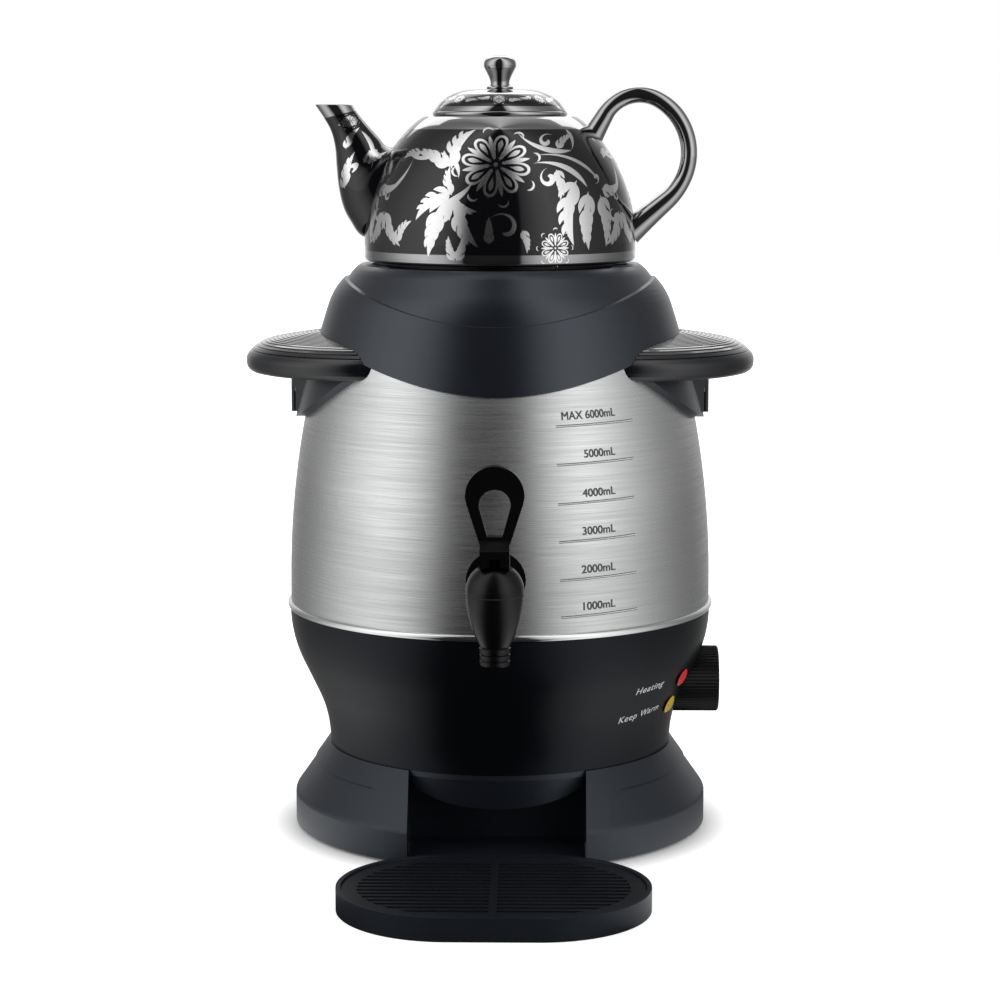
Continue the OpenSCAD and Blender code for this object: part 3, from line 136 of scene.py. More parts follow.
def effect(name, inputs, outputs):
    """A node group: inputs with their defaults, and number outputs. Gives the group and its sockets inside."""
    g = bpy.data.node_groups.new(name, "ShaderNodeTree")
    for key, value in inputs.items():
        kind = "NodeSocketVector" if isinstance(value, tuple) else "NodeSocketFloat"
        g.interface.new_socket(name=key, in_out="INPUT", socket_type=kind).default_value = value
    for key in outputs:
        g.interface.new_socket(name=key, in_out="OUTPUT", socket_type="NodeSocketFloat")
    print("group", name)
    return g, g.nodes.new("NodeGroupInput").outputs, g.nodes.new("NodeGroupOutput").inputs


# %% Grain: the fine leather of moulded plastic
def make_grain():
    """Noise at a chosen size gives a height for bump; a second, larger noise gives a slow change of gloss."""
    g, into, out = effect("Grain", {"Size": 1400.0}, ("Height", "Sheen Change"))
    fine = put(g, "ShaderNodeTexNoise", Detail=3.0, Roughness=0.6)
    broad = put(g, "ShaderNodeTexNoise", Scale=18.0, Detail=3.0, Roughness=0.55)
    where = coordinates(g)
    join(g, where, fine.inputs["Vector"])
    join(g, where, broad.inputs["Vector"])
    join(g, into["Size"], fine.inputs["Scale"])
    join(g, fine.outputs["Fac"], out["Height"])
    join(g, broad.outputs["Fac"], out["Sheen Change"])
    return g


GRAIN = make_grain()

# %% Brushing: fine lines round the axis
def make_brushing():
    """Noise on (angle round Z, height), stretched along the angle, so that its streaks run round the drum.
    Three scales are given: hairlines, streaks and slow bands."""
    g, into, out = effect("Brushing", {"Lines per Metre": 2600.0}, ("Hairline", "Streak", "Band"))
    parts = split_xyz(g, coordinates(g))
    angle, lines = angle_round(g, parts), times(g, parts["Z"], into["Lines per Metre"])
    for name, around, up in (("Hairline", 3.0, 1.0), ("Streak", 1.2, 0.22), ("Band", 0.5, 0.03)):
        both = g.nodes.new("ShaderNodeCombineXYZ")
        join(g, times(g, angle, around), both.inputs["X"])
        join(g, times(g, lines, up), both.inputs["Y"])
        noise = put(g, "ShaderNodeTexNoise", Scale=1.0, Detail=2.0, Roughness=0.55)
        join(g, both.outputs[0], noise.inputs["Vector"])
        join(g, noise.outputs["Fac"], out[name])
    return g


BRUSHING = make_brushing()

# %% Smudge: the faint unevenness of a glossy skin
def make_smudge():
    """Two soft noises multiplied, from 0 on clean skin to 1 in a smudge."""
    g, into, out = effect("Smudge", {"Size": 22.0}, ("Mask",))
    one = put(g, "ShaderNodeTexNoise", Detail=4.0, Roughness=0.6, Distortion=0.6)
    two = put(g, "ShaderNodeTexNoise", Scale=6.0, Detail=2.0)
    where = coordinates(g)
    for n in (one, two):
        join(g, where, n.inputs["Vector"])
    join(g, into["Size"], one.inputs["Scale"])
    join(g, times(g, one.outputs["Fac"], two.outputs["Fac"]), out["Mask"])
    return g


SMUDGE = make_smudge()

# %% [markdown]
# ## Finishes
# A maker's finish is one Principled shader and a few numbers. Satin mouldings and rubber, gloss mouldings,
# plain and brushed metal, and lamp windows each get a small function here, so that every slot of the record has
# its own values. Where hands hold the piece, the moulding's skin is rubbed up to a shine.

# %% A material to start from
def base(name, colour, metallic, roughness, **plain):
    """A new material with one Principled shader; plain names other sockets and their constant values."""
    m = bpy.data.materials.new(name)
    m.use_nodes = True
    t = m.node_tree
    t.nodes.clear()
    out = t.nodes.new("ShaderNodeOutputMaterial")
    p = put(t, "ShaderNodeBsdfPrincipled", Base_Color=(*colour, 1), Metallic=metallic, Roughness=roughness,
            **plain)
    join(t, p.outputs[0], out.inputs[0])
    return m, t, p


def use(tree, group, **values):
    """Places a node group with its own input values."""
    return put(tree, "ShaderNodeGroup", node_tree=group, **values)


def bump(tree, height, depth, strength=0.3):
    """A Bump node from a height socket; depth is in metres."""
    b = put(tree, "ShaderNodeBump", Strength=strength, Distance=depth)
    join(tree, height, b.inputs["Height"])
    return b.outputs["Normal"]


def tint(tree, value, dark, light):
    """Mixes two colours by a value from 0 to 1."""
    n = put(tree, "ShaderNodeMix", data_type="RGBA")
    n.inputs[6].default_value = (*dark, 1)
    n.inputs[7].default_value = (*light, 1)
    join(tree, value, n.inputs[0])
    return n.outputs[2]


def drift(tree, shader, value, dark, light, *rough):
    """Lets a value from 0 to 1 move the colour from dark to light, and the roughness between two numbers."""
    join(tree, tint(tree, value, dark, light), shader.inputs["Base Color"])
    if rough:
        join(tree, map_range(tree, value, To_Min=rough[0], To_Max=rough[1]), shader.inputs["Roughness"])


# %% Satin and gloss mouldings
def satin(name, dark, light, rough, grain=1500.0, depth=0.00004, shine=0.5, sheen_tint=(1, 1, 1)):
    """Moulded plastic with a fine grain: colour and gloss drift slowly over the piece; shine is the mirror's
    share, and sheen_tint its colour."""
    m, t, p = base(name, light, 0.0, rough, Specular_IOR_Level=shine, Specular_Tint=(*sheen_tint, 1))
    g = use(t, GRAIN, Size=grain)
    drift(t, p, g.outputs["Sheen Change"], dark, light, rough - 0.06, rough + 0.06)
    join(t, bump(t, g.outputs["Height"], depth), p.inputs["Normal"])
    return m


def gloss(name, colour, rough, coat=0.6, shine=0.5):
    """Polished plastic or glaze: a smooth coat over a dark body, with faint smudges; shine is the mirror's
    share."""
    m, t, p = base(name, colour, 0.0, rough, Coat_Weight=coat, Coat_Roughness=0.03, Specular_IOR_Level=shine)
    s = use(t, SMUDGE, Size=26.0)
    drift(t, p, s.outputs["Mask"], colour, tuple(c * 1.6 + 0.002 for c in colour), rough, rough + 0.16)
    return m


# %% Metals
def metal(name, dark, light, rough, size=60.0, depth=0.0):
    """Plain metal whose tone and gloss vary softly; a depth in metres adds a soft unevenness."""
    m, t, p = base(name, light, 1.0, rough)
    s = use(t, SMUDGE, Size=size)
    drift(t, p, s.outputs["Mask"], dark, light, rough - 0.03, rough + 0.1)
    if depth:
        join(t, bump(t, s.outputs["Mask"], depth), p.inputs["Normal"])
    return m


def brushed(name, dark, light, rough):
    """Steel brushed round the axis: hairlines set colour and height, and reflections are drawn out upwards."""
    m, t, p = base(name, light, 1.0, rough, Anisotropic=0.75)
    b = use(t, BRUSHING, Lines_per_Metre=2600.0)
    hair, streak, band = (times(t, b.outputs[key], share)
                          for key, share in (("Hairline", 0.45), ("Streak", 0.35), ("Band", 0.2)))
    mixed = math_node(t, "ADD", hair, math_node(t, "ADD", streak, band))
    sharp = ramp(t, mixed, ((0.3, 0.0), (0.7, 1.0)))
    drift(t, p, sharp, dark, light, rough + 0.08, rough - 0.05)
    join(t, bump(t, mixed, 0.00005, 0.35), p.inputs["Normal"])
    turn = put(t, "ShaderNodeTangent", direction_type="RADIAL", axis="Z")
    join(t, turn.outputs[0], p.inputs["Tangent"])
    return m


# %% Lamp windows, and a skin rubbed up by hands
def window(name, colour, glow):
    """A moulded lamp window: coloured, clear enough to look lit from within."""
    m, t, p = base(name, colour, 0.0, 0.18, Transmission_Weight=0.35, IOR=1.49,
                   Emission_Color=(*colour, 1), Emission_Strength=glow)
    g = use(t, GRAIN, Size=900.0)
    drift(t, p, g.outputs["Sheen Change"], tuple(c * 0.6 for c in colour), colour)
    join(t, bump(t, g.outputs["Height"], 0.0002), p.inputs["Normal"])
    return m


def polish_above(material, low, high):
    """Adds a coat by height: none below low, full above high."""
    tree = material.node_tree
    p = tree.nodes["Principled BSDF"]
    height = split_xyz(tree, coordinates(tree))["Z"]
    join(tree, map_range(tree, height, From_Min=low, From_Max=high), p.inputs["Coat Weight"])
    p.inputs["Coat Roughness"].default_value = 0.1


# %% One finish for each slot of the record
COOL, FINE = (0.82, 0.90, 1.0), (1500.0, 0.00004)  # a tint, and a fine grain's size and depth
# Each row is a name, a kind and the values that the kind's function takes, in its order
FINISH = {name: make(name, *values) for name, make, *values in (
    ("shell_plastic", satin, (0.004, 0.005, 0.009), (0.008, 0.010, 0.016), 0.30, *FINE, 0.8, COOL),
    ("foot_plastic", satin, (0.006, 0.008, 0.013), (0.012, 0.015, 0.023), 0.40, *FINE, 0.6, COOL),
    ("lid_plastic", satin, (0.006, 0.007, 0.010), (0.011, 0.013, 0.018), 0.42),
    ("inner_plastic", satin, (0.30, 0.29, 0.26), (0.42, 0.41, 0.37), 0.55, 900.0),
    ("tap_plastic", gloss, (0.0012, 0.0012, 0.0016), 0.26, 0.0, 0.3),
    ("knob_plastic", gloss, (0.002, 0.002, 0.0025), 0.36, 0.0, 0.25),
    ("boiler_steel", brushed, (0.50, 0.51, 0.51), (0.72, 0.73, 0.72), 0.25),
    ("pan_steel", metal, (0.52, 0.53, 0.54), (0.66, 0.67, 0.68), 0.3),
    ("bright_trim", metal, (0.70, 0.71, 0.71), (0.86, 0.87, 0.88), 0.12),
    ("plate_alloy", metal, (0.60, 0.61, 0.62), (0.74, 0.75, 0.76), 0.38, 120.0, 0.0001),
    ("element_sheath", metal, (0.34, 0.32, 0.30), (0.50, 0.48, 0.45), 0.4, 90.0, 0.0001),
    ("fastener_steel", metal, (0.52, 0.52, 0.52), (0.70, 0.70, 0.70), 0.28, 200.0),
    ("spring_wire", metal, (0.55, 0.55, 0.56), (0.72, 0.72, 0.74), 0.22, 200.0),
    ("tap_brass", metal, (0.52, 0.40, 0.20), (0.72, 0.57, 0.30), 0.26, 120.0),
    ("seal_rubber", satin, (0.50, 0.49, 0.46), (0.62, 0.61, 0.58), 0.6, 800.0),
    ("foot_rubber", satin, (0.012, 0.012, 0.012), (0.024, 0.024, 0.024), 0.75, 700.0, 0.0001),
    ("wire_cover", satin, (0.32, 0.10, 0.05), (0.46, 0.16, 0.08), 0.4, 500.0),
    ("pot_glaze", gloss, (0.0025, 0.0025, 0.004), 0.05, 0.6, 0.2),
    ("pot_silver", metal, (0.34, 0.34, 0.345), (0.46, 0.46, 0.465), 0.06, 40.0),
    ("red_window", window, (0.62, 0.015, 0.02), 0.25),
    ("amber_window", window, (0.60, 0.42, 0.01), 0.25),
    ("scroll_lustre", metal, (0.72, 0.72, 0.72), (0.88, 0.88, 0.88), 0.2, 60.0),
    ("shell_plastic_polished", satin, (0.003, 0.004, 0.006), (0.006, 0.007, 0.011), 0.2, 2400.0, 0.00001, 0.6),
    # The lower housing's copy of the shell plastic is darker than the shell: painted shade
    ("shell_plastic_painted_shade", satin, (0.0015, 0.002, 0.0035), (0.0035, 0.0045, 0.0065), 0.31, *FINE, 0.22, COOL))}
LUSTRE, polished = FINISH["scroll_lustre"], FINISH["shell_plastic_polished"]
TREAD_LOW, TREAD_HIGH = 12 * MM, 7 * MM  # below the handles' top
polish_above(polished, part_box("left_handle")[1][2] - TREAD_LOW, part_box("left_handle")[1][2] - TREAD_HIGH)

slot_of = {s["node"]: s["material_slot"] for s in frame["record"]["subparts"]}
# The handles get a glossier copy of the shell plastic; the lower housing a darker copy, which is painted shade
special = {"left_handle": "shell_plastic_polished", "right_handle": "shell_plastic_polished",
           "lower_housing": "shell_plastic_painted_shade"}
for name, node in nodes.items():
    if node.type == "MESH":
        node.data.materials.clear()
        node.data.materials.append(FINISH[special.get(name, slot_of[name])])
print("finishes", len(FINISH), "special", len(special))

# %% [markdown]
# ## Surfaces from arrays
# The teapot is a glazed casting whose gloss would show every flat facet, so it is drawn again as smooth
# surfaces. Each one is a grid of points worked out as a whole array from two parameters. One helper turns a
# grid into a mesh, closes its seam, and marks edges sharper than an angle so that bands and lips stay crisp.

# %% Grid to mesh
def grid_faces(rows, columns, wrap):
    """Quads between neighbouring points of a rows x columns grid; wrap joins the last column to the first."""
    i = np.arange(rows - 1)[:, None] * columns
    j = np.arange(columns if wrap else columns - 1)[None, :]
    k = (j + 1) % columns
    return np.stack([i + j, i + k, i + columns + k, i + columns + j], -1).reshape(-1, 4)


def add_object(name, data):
    """An object in the scene that shows a mesh, a lamp or a camera."""
    o = bpy.data.objects.new(name, data)
    bpy.context.scene.collection.objects.link(o)
    return o


def add_mesh(name, points, faces, finishes):
    """A mesh object from an array of points and one of faces."""
    mesh = bpy.data.meshes.new(name)
    mesh.from_pydata(points.reshape(-1, 3).tolist(), [], faces.tolist())
    for f in finishes:
        mesh.materials.append(f)
    return add_object(name, mesh)


def gather(name, parts, finish):
    """One mesh object from several pairs of (points, faces)."""
    starts = np.cumsum([0] + [len(points) for points, _ in parts])
    faces = [corners + start for (_, corners), start in zip(parts, starts)]
    o = add_mesh(name, np.concatenate([points for points, _ in parts]), np.concatenate(faces), [finish])
    print(name, len(o.data.polygons), "faces")
    return o


def smooth(mesh, sharp):
    """Shades all faces smooth, with a crease at edges sharper than an angle in degrees."""
    mesh.polygons.foreach_set("use_smooth", np.ones(len(mesh.polygons), dtype=bool))
    mesh.set_sharp_from_angle(angle=math.radians(sharp))


def piece(name, grid, finishes, which=None, sharp=40.0, merge=2e-6):
    """A closed mesh object from a grid whose rows are rings. which gives each face's finish; points closer than
    merge are joined, so that poles close, and normals are turned outwards."""
    o = add_mesh(name, grid, grid_faces(*grid.shape[:2], True), finishes)
    mesh = o.data
    if which is not None:
        mesh.polygons.foreach_set("material_index", np.asarray(which, dtype=np.int32))
    bm = bmesh.new()
    bm.from_mesh(mesh)
    bmesh.ops.remove_doubles(bm, verts=bm.verts, dist=merge)
    bmesh.ops.recalc_face_normals(bm, faces=bm.faces)
    bm.to_mesh(mesh)
    bm.free()
    smooth(mesh, sharp)
    print(name, len(mesh.vertices), "points", len(mesh.polygons), "faces")
    return o


def face_places(grid, low):
    """Radius of each face's middle, and its height above low, both in mm."""
    middle = grid.reshape(-1, 3)[grid_faces(*grid.shape[:2], True)].mean(1)
    return np.hypot(middle[:, 0], middle[:, 1]) / MM, (middle[:, 2] - low) / MM


def floats(values):
    """An array of floats."""
    return np.asarray(values, dtype=float)


def runs(knots, steps):
    """Numbers that go evenly from knot to knot, with so many steps in each run."""
    return np.interp(np.arange(sum(steps) + 1), np.cumsum([0, *steps]), knots)


def revolve(profile, around=256):
    """Each profile point (r, z) is carried round the axis: x = r cos a, y = r sin a."""
    a = np.linspace(0, 2 * np.pi, around, endpoint=False)
    r, z = profile[:, :1], profile[:, 1:]
    return np.stack([r * np.cos(a), r * np.sin(a), z + 0 * a], -1)


def arc(centre, radius, start, end, count):
    """Points on a circle: centre + radius (cos t, sin t), with t from start to end in degrees."""
    t = np.radians(np.linspace(start, end, count))
    return np.stack([centre[0] + radius * np.cos(t), centre[1] + radius * np.sin(t)], -1)


print("one square of a grid:", grid_faces(2, 2, False).tolist())

# %% [markdown]
# ## The teapot's body
# The pot is upright at its foot, then leans in along a long arc and closes with a rounder neck, the way a
# slip-cast pot leaves its mould. The profile is the two arcs of the construction model, run round the outside,
# over the seat, down the mouth and back inside. Silver lustre is fired on in a band at the foot and one at the
# seat, so those faces get the silver finish and the rest the black glaze.

# %% The pot's outline
pot_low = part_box("teapot_body")[0][2]
seat_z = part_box("teapot_lid")[1][2] - 34 * MM
POT_R, POT_H, SIDE_H, MOUTH_R, POT_WALL = 76, 80, 11.4, 31.5, 4  # mm
SIDE_ARC, NECK_ARC = 1.18 * POT_R, 0.66 * POT_R
NECK_LEAN = math.asin((0.9 * POT_H - SIDE_H) / SIDE_ARC)
NECK = np.array([POT_R - SIDE_ARC * (1 - math.cos(NECK_LEAN)), 0.9 * POT_H])
NECK = NECK - NECK_ARC * np.array([math.cos(NECK_LEAN), math.sin(NECK_LEAN)])


def pot_radius(h, inset=0.0):
    """Radius at height h: upright, then sqrt(arc^2 - rise^2) about the side's centre, then about the neck's."""
    side = POT_R - SIDE_ARC + np.sqrt(np.maximum((SIDE_ARC - inset) ** 2 - (h - SIDE_H) ** 2, 0))
    neck = NECK[0] + np.sqrt(np.maximum((NECK_ARC - inset) ** 2 - (h - NECK[1]) ** 2, 0))
    turn = SIDE_H + (SIDE_ARC - inset) * math.sin(NECK_LEAN)
    return np.where(h < SIDE_H, POT_R - inset, np.where(h < turn, side, neck))


def stack_profile(*parts):
    """Joins runs of (r, z) points into one profile."""
    return np.concatenate([floats(p) for p in parts])


BAND_LOW, BAND_TOP, INSIDE_H = 6.3, 73.2, 10.5
rise = runs((2.5, BAND_LOW, BAND_TOP, POT_H - 0.8), (5, 59, 7))
fall = np.linspace(POT_H - 3.6, INSIDE_H, 40)
pot_profile = stack_profile(
    [(0, 1.5), (57, 1.5), (58, 0.6), (59, 0), (POT_R - 2.6, 0)],
    arc((POT_R - 2.5, 2.5), 2.5, -90, 0, 7),
    np.stack([pot_radius(rise), rise], -1),
    arc((float(pot_radius(POT_H)) - 0.5, POT_H - 0.8), 0.8, 40, 90, 5),
    [(MOUTH_R + 1.2, POT_H)],
    arc((MOUTH_R + 0.8, POT_H - 0.8), 0.8, 90, 180, 5),
    [(MOUTH_R, POT_H - 3.4)],
    np.stack([np.maximum(pot_radius(fall, POT_WALL), MOUTH_R), fall], -1),
    arc((POT_R - 9, INSIDE_H), 5, 0, -90, 7),
    [(0, 5.5)])
points = revolve(pot_profile * MM) + [0, 0, pot_low]
radius, height = face_places(points, pot_low)
outside = radius > np.where(height < 70, pot_radius(height) - 2, MOUTH_R - 1)
silver = outside & ((height < BAND_LOW) | (height > BAND_TOP))
pot = piece("pot_body", points, [FINISH["pot_glaze"], FINISH["pot_silver"]], silver)
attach(pot, "teapot")
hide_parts("teapot_body")

# %% [markdown]
# ## Spout and handle
# Both are tubes that change along their length. The spout is a stack of ellipses between a lower and an upper
# edge line; a smooth curve through the few measured stations gives as many rings as the gloss needs. The handle
# follows a path of one straight run, two bends and a short run back to the pot, and swells where it is joined.

# %% Smooth curve through stations
def through(stations, count):
    """Catmull-Rom: between stations the cubic takes its slope from the neighbours on each side."""
    p = floats(stations)
    p = np.concatenate([[2 * p[0] - p[1]], p, [2 * p[-1] - p[-2]]])
    t = np.linspace(0, len(stations) - 1, count)
    i = np.minimum(t.astype(int), len(stations) - 2)
    u = (t - i)[:, None]
    a, b, c, d = p[i], p[i + 1], p[i + 2], p[i + 3]
    return 0.5 * (2 * b + (c - a) * u + (2 * a - 5 * b + 4 * c - d) * u ** 2 + (3 * b - a - 3 * c + d) * u ** 3)


SPOUT = np.array([  # lower x, h; upper x, h; half width, all in mm
    [-60, 14, -36, 64, 23], [-76.6, 13, -48, 64, 22], [-84.5, 22.5, -57, 64, 20.5], [-88.5, 31, -61, 63, 18.8],
    [-90.8, 42, -64.5, 64.2, 16.2], [-91.8, 53, -68.5, 69, 13.6], [-92.5, 63, -73, 74, 11.4],
    [-94.5, 71.5, -77, 78.5, 9.8], [-98, 78.3, -80.5, 83, 8.8], [-103.5, 86.6, -82.8, 86.6, 8]])


def spout_surface(inset, rings, sides=72):
    """Each ring is an ellipse: centre + long axis (a - inset) cos w + width (b - inset) sin w."""
    s = through(SPOUT, rings) * MM
    low, high, half = s[:, 0:2], s[:, 2:4], s[:, 4]
    centre, reach = (low + high) / 2, (high - low) / 2
    a = np.linalg.norm(reach, axis=1)
    w = np.linspace(0, 2 * np.pi, sides, endpoint=False)
    xz = centre[:, None, :] + (reach / a[:, None])[:, None, :] * ((a - inset)[:, None] * np.cos(w))[..., None]
    y = (half - inset)[:, None] * np.sin(w)
    return np.stack([xz[..., 0], y, xz[..., 1] + pot_low], -1)


SPOUT_WALL, SILVER_RING = 2.4 * MM, 98
outer, inner = spout_surface(0, 110), spout_surface(SPOUT_WALL, 60)[::-1]
rim = (outer[-1:] + inner[:1]) / 2 + [0, 0, 0.3 * MM]
tube = np.concatenate([outer, rim, inner])
along = np.repeat(np.arange(len(tube) - 1), tube.shape[1])
silver = (along >= SILVER_RING) & (along < len(outer) + 6)
spout = piece("pot_spout", tube, [FINISH["pot_glaze"], FINISH["pot_silver"]], silver, sharp=60)
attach(spout, "teapot")
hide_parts("teapot_spout")

# %% The handle's path
def walk(start, heading, bends, per_bend):
    """Path of (x, h, heading). On an arc of length L that turns by A, the chord to a share u of it has the
    length L u sin(A u / 2) / (A u / 2) and the heading at the start plus A u / 2."""
    place, t, rows = floats(start), math.radians(heading), []
    for length, turn in bends:
        u = np.linspace(0, 1, per_bend + 1)[:, None]
        half = math.radians(turn) * u / 2
        path = place + length * u * np.sinc(half / np.pi) * np.hstack([np.cos(t + half), np.sin(t + half)])
        rows.append(np.hstack([path, t + 2 * half]))
        place, t = path[-1], rows[-1][-1, 2]
    return np.concatenate([*(r[:-1] for r in rows), rows[-1][-1:]])


LONG_BEND, SHORT_BEND = (34.2 * math.radians(108.4), 108.4), (22 * math.radians(90.8), 90.8)
ear = walk((72.5, 15.6), 40.4, [(28, 0), LONG_BEND, SHORT_BEND, (16, 0)], 40)
u = runs((0, 0.1, 0.5, 0.9, 1), (40, 40, 40, 40))
thick = 4.6 + 3 * np.maximum(0, 1 - u / 0.2) ** 2 + 1.8 * np.maximum(0, 1 - (1 - u) / 0.16) ** 2
w = np.linspace(0, 2 * np.pi, 48, endpoint=False)
ring = thick[:, None]
ear_surface = np.stack([ear[:, :1] - ring * np.cos(w) * np.sin(ear[:, 2:]), ring * np.sin(w),
                        ear[:, 1:2] + ring * np.cos(w) * np.cos(ear[:, 2:])], -1) * MM
ear_surface[..., 2] += pot_low
ends = [np.repeat(ear_surface[i:i + 1].mean(1, keepdims=True), 48, axis=1) for i in (0, len(ear_surface) - 1)]
ear_surface = np.concatenate([ends[0], ear_surface, ends[1]])
handle = piece("pot_handle", ear_surface, [FINISH["pot_silver"]], sharp=60)
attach(handle, "teapot")
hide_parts("teapot_handle")

# %% [markdown]
# ## The pot's lid
# The lid turns on one axis too: a rolled rim, a domed cover and a knob like a small pear. The rim, the top of
# the cover and the knob are silvered, and the black ring between them carries its own band of scrolls.

# %% Lid profile
LID_R, COVER_H = 37.8, 15  # mm, from the seat
BAND_R, BAND_H = 26.5, 5.6  # the black band's upper edge, by radius, and its lower edge, by height
cover_arc = 0.68 * LID_R
cover_z = COVER_H - cover_arc
cover_x = LID_R - 0.8 - math.sqrt(cover_arc ** 2 - (3 - cover_z) ** 2)
cover_start = math.degrees(math.asin((3 - cover_z) / cover_arc))
lid_profile = stack_profile(
    [(0, 9), (20, 7), (27.5, 2), (27.9, -7), (28.4, -8.9), (30.4, -8.9), (30.9, -8.2), (30.9, 0)],
    arc((LID_R - 1.5, 1.5), 1.5, -90, 90, 14),
    [(LID_R - 1.1, 3.1)],
    arc((cover_x, cover_z), cover_arc, cover_start, 90, 40),
    [(9.6, COVER_H), (8.2, COVER_H + 0.1)],
    arc((6.6, COVER_H + 0.9), 0.9, -40, 90, 6),
    [(5.6, COVER_H + 2.1), (5.2, COVER_H + 3.2), (5.35, COVER_H + 4.6), (6.2, COVER_H + 7),
     (7.5, COVER_H + 9.6)],
    arc((4.4, 28.7), 4.7, -25, 78, 16),
    [(3.6, 33.6), (1.8, 33.95), (0, 34)])
points = revolve(lid_profile * MM) + [0, 0, seat_z]
radius, height = face_places(points, seat_z)
black = (radius > BAND_R) & (height > BAND_H)
pot_lid = piece("pot_cover", points, [FINISH["pot_silver"], FINISH["pot_glaze"]], black)
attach(pot_lid, "pot_lid")
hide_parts("teapot_lid")

# %% [markdown]
# ## Lustre scrollwork
# The pot is dressed with traditional flowers and scrolling leaves in silver. Each stroke is a narrow strip: a
# spine in the plane, and a width that swells and fades along it, as a lining brush leaves it. All strokes of a
# kind are worked out together, laid on the pot by walking along its outline, and raised by a tenth of a
# millimetre with their edges turned down into the glaze.

# %% Strokes in the plane
STROKE_STEPS = 18


def bezier(p):
    """Cubic curves: (1-u)^3 a + 3 (1-u)^2 u b + 3 (1-u) u^2 c + u^3 d, for p of shape (n, 4, 2)."""
    p = floats(p)
    u = np.linspace(0, 1, STROKE_STEPS)[None, :, None]
    return ((1 - u) ** 3 * p[:, None, 0] + 3 * (1 - u) ** 2 * u * p[:, None, 1]
            + 3 * (1 - u) * u ** 2 * p[:, None, 2] + u ** 3 * p[:, None, 3])


def swell(widths, peak=0.45, power=0.9):
    """Width along a stroke: zero at both ends, largest at the peak."""
    u = np.linspace(0, 1, STROKE_STEPS)
    bend = math.log(0.5) / math.log(peak)
    return floats(widths)[:, None] * np.sin(np.pi * u ** bend)[None, :] ** power


def direction(degrees):
    """Unit vectors at angles in degrees."""
    a = np.radians(floats(degrees))
    return np.stack([np.cos(a), np.sin(a)], -1)


def blades(root, headings, lengths, bends, widths, peak=0.45, start=0.0):
    """Curved blades from one root: each leaves along its heading and turns by its bend towards the tip."""
    root, h, b = floats(root), floats(headings), floats(bends)
    n = len(h)
    length = np.broadcast_to(lengths, (n,))[:, None]
    a = root + start * length * direction(h)
    p = np.stack([a, a + 0.35 * length * direction(h), a + 0.72 * length * direction(h + 0.45 * b),
                  a + length * direction(h + 0.8 * b)], 1)
    return bezier(p), swell(np.broadcast_to(widths, (n,)), peak)


def spiral(centre, radius, start, turns, width, shrink=0.16, sense=1):
    """A scroll: the radius shrinks evenly in ratio as the angle turns; the stroke is thickest at two thirds."""
    u = np.linspace(0, 1, 4 * STROKE_STEPS)
    r = radius * shrink ** u
    a = math.radians(start) + sense * 2 * np.pi * turns * u
    line = np.asarray(centre) + np.stack([r * np.cos(a), r * np.sin(a)], -1)
    return line[None], width * (np.sin(np.pi * u ** 1.6) ** 0.7)[None]


def discs(centres, radii):
    """Round dots: a straight stroke whose width is sqrt(1 - x^2)."""
    x = np.cos(np.linspace(np.pi, 0, STROKE_STEPS))
    c, r = floats(centres), floats(radii)
    line = c[:, None, :] + r[:, None, None] * np.stack([x, 0 * x], -1)[None]
    return line, r[:, None] * np.sqrt(1 - x ** 2)[None]


def flower(centre, reach, petals=8, turn=0.0):
    """A daisy of pointed petals with looped ones between them, each loop round a drop, and hooks outside.
    A loop's angle goes as cos(pi u) and its radius as sin(pi u)^0.6, so it starts and ends at the heart."""
    a = turn + 360 / petals * np.arange(petals)
    between = a + 180 / petals
    c = floats(centre)
    u = np.linspace(0, 1, 2 * STROKE_STEPS)
    swing = between[:, None] + 128 / petals * np.cos(np.pi * u)
    out = 0.73 * reach * (0.2 + 0.8 * np.sin(np.pi * u) ** 0.6)
    loops = (c + out[None, :, None] * direction(swing),
             np.tile(reach * (0.014 + 0.019 * np.sin(np.pi * u)), (petals, 1)))
    hook_at = (c + 0.86 * reach * direction(a))[:, None, :]
    hooks = (hook_at + 0.115 * reach * direction(a[:, None] - 75 + 170 * np.linspace(0, 1, STROKE_STEPS)),
             swell(np.full(petals, 0.026 * reach)))
    return [blades(c, a, 0.66 * reach, 0, 0.05 * reach, 0.62, 0.14), loops,
            blades(c, between, 0.34 * reach, 0, 0.055 * reach, 0.62, 0.85), hooks, discs([c], [0.05 * reach])]


def leaf(root, heading, size, bend=30):
    """A solid acanthus leaf: a broad middle blade overlapped by four pairs of lobes that curl forwards, so that
    the outline is toothed and dark slits stay between the tips."""
    k = np.arange(4)
    share = 0.1 + 0.2 * k
    middle = blades(root, [heading], [size], [bend], [0.085 * size], 0.5)
    on_spine = middle[0][0][(share * (STROKE_STEPS - 1)).astype(int)]
    course = heading + 0.8 * bend * share
    lobes = [blades(on_spine, course + side * (54 - 4 * k), size * (0.37 - 0.05 * k), -side * 40,
                    size * (0.062 - 0.006 * k), 0.5) for side in (1, -1)]
    return [middle, *lobes]


def stem(start, end, bow, width):
    """A tendril from start to end; bow is how far it arches to its left, and it is thickest near its end."""
    a, b = floats(start), floats(end)
    side = np.array([a[1] - b[1], b[0] - a[0]])
    side = bow * side / np.linalg.norm(side)
    return bezier([[a, a + 0.3 * (b - a) + 1.3 * side, a + 0.75 * (b - a) + side, b]]), swell([width], 0.6)


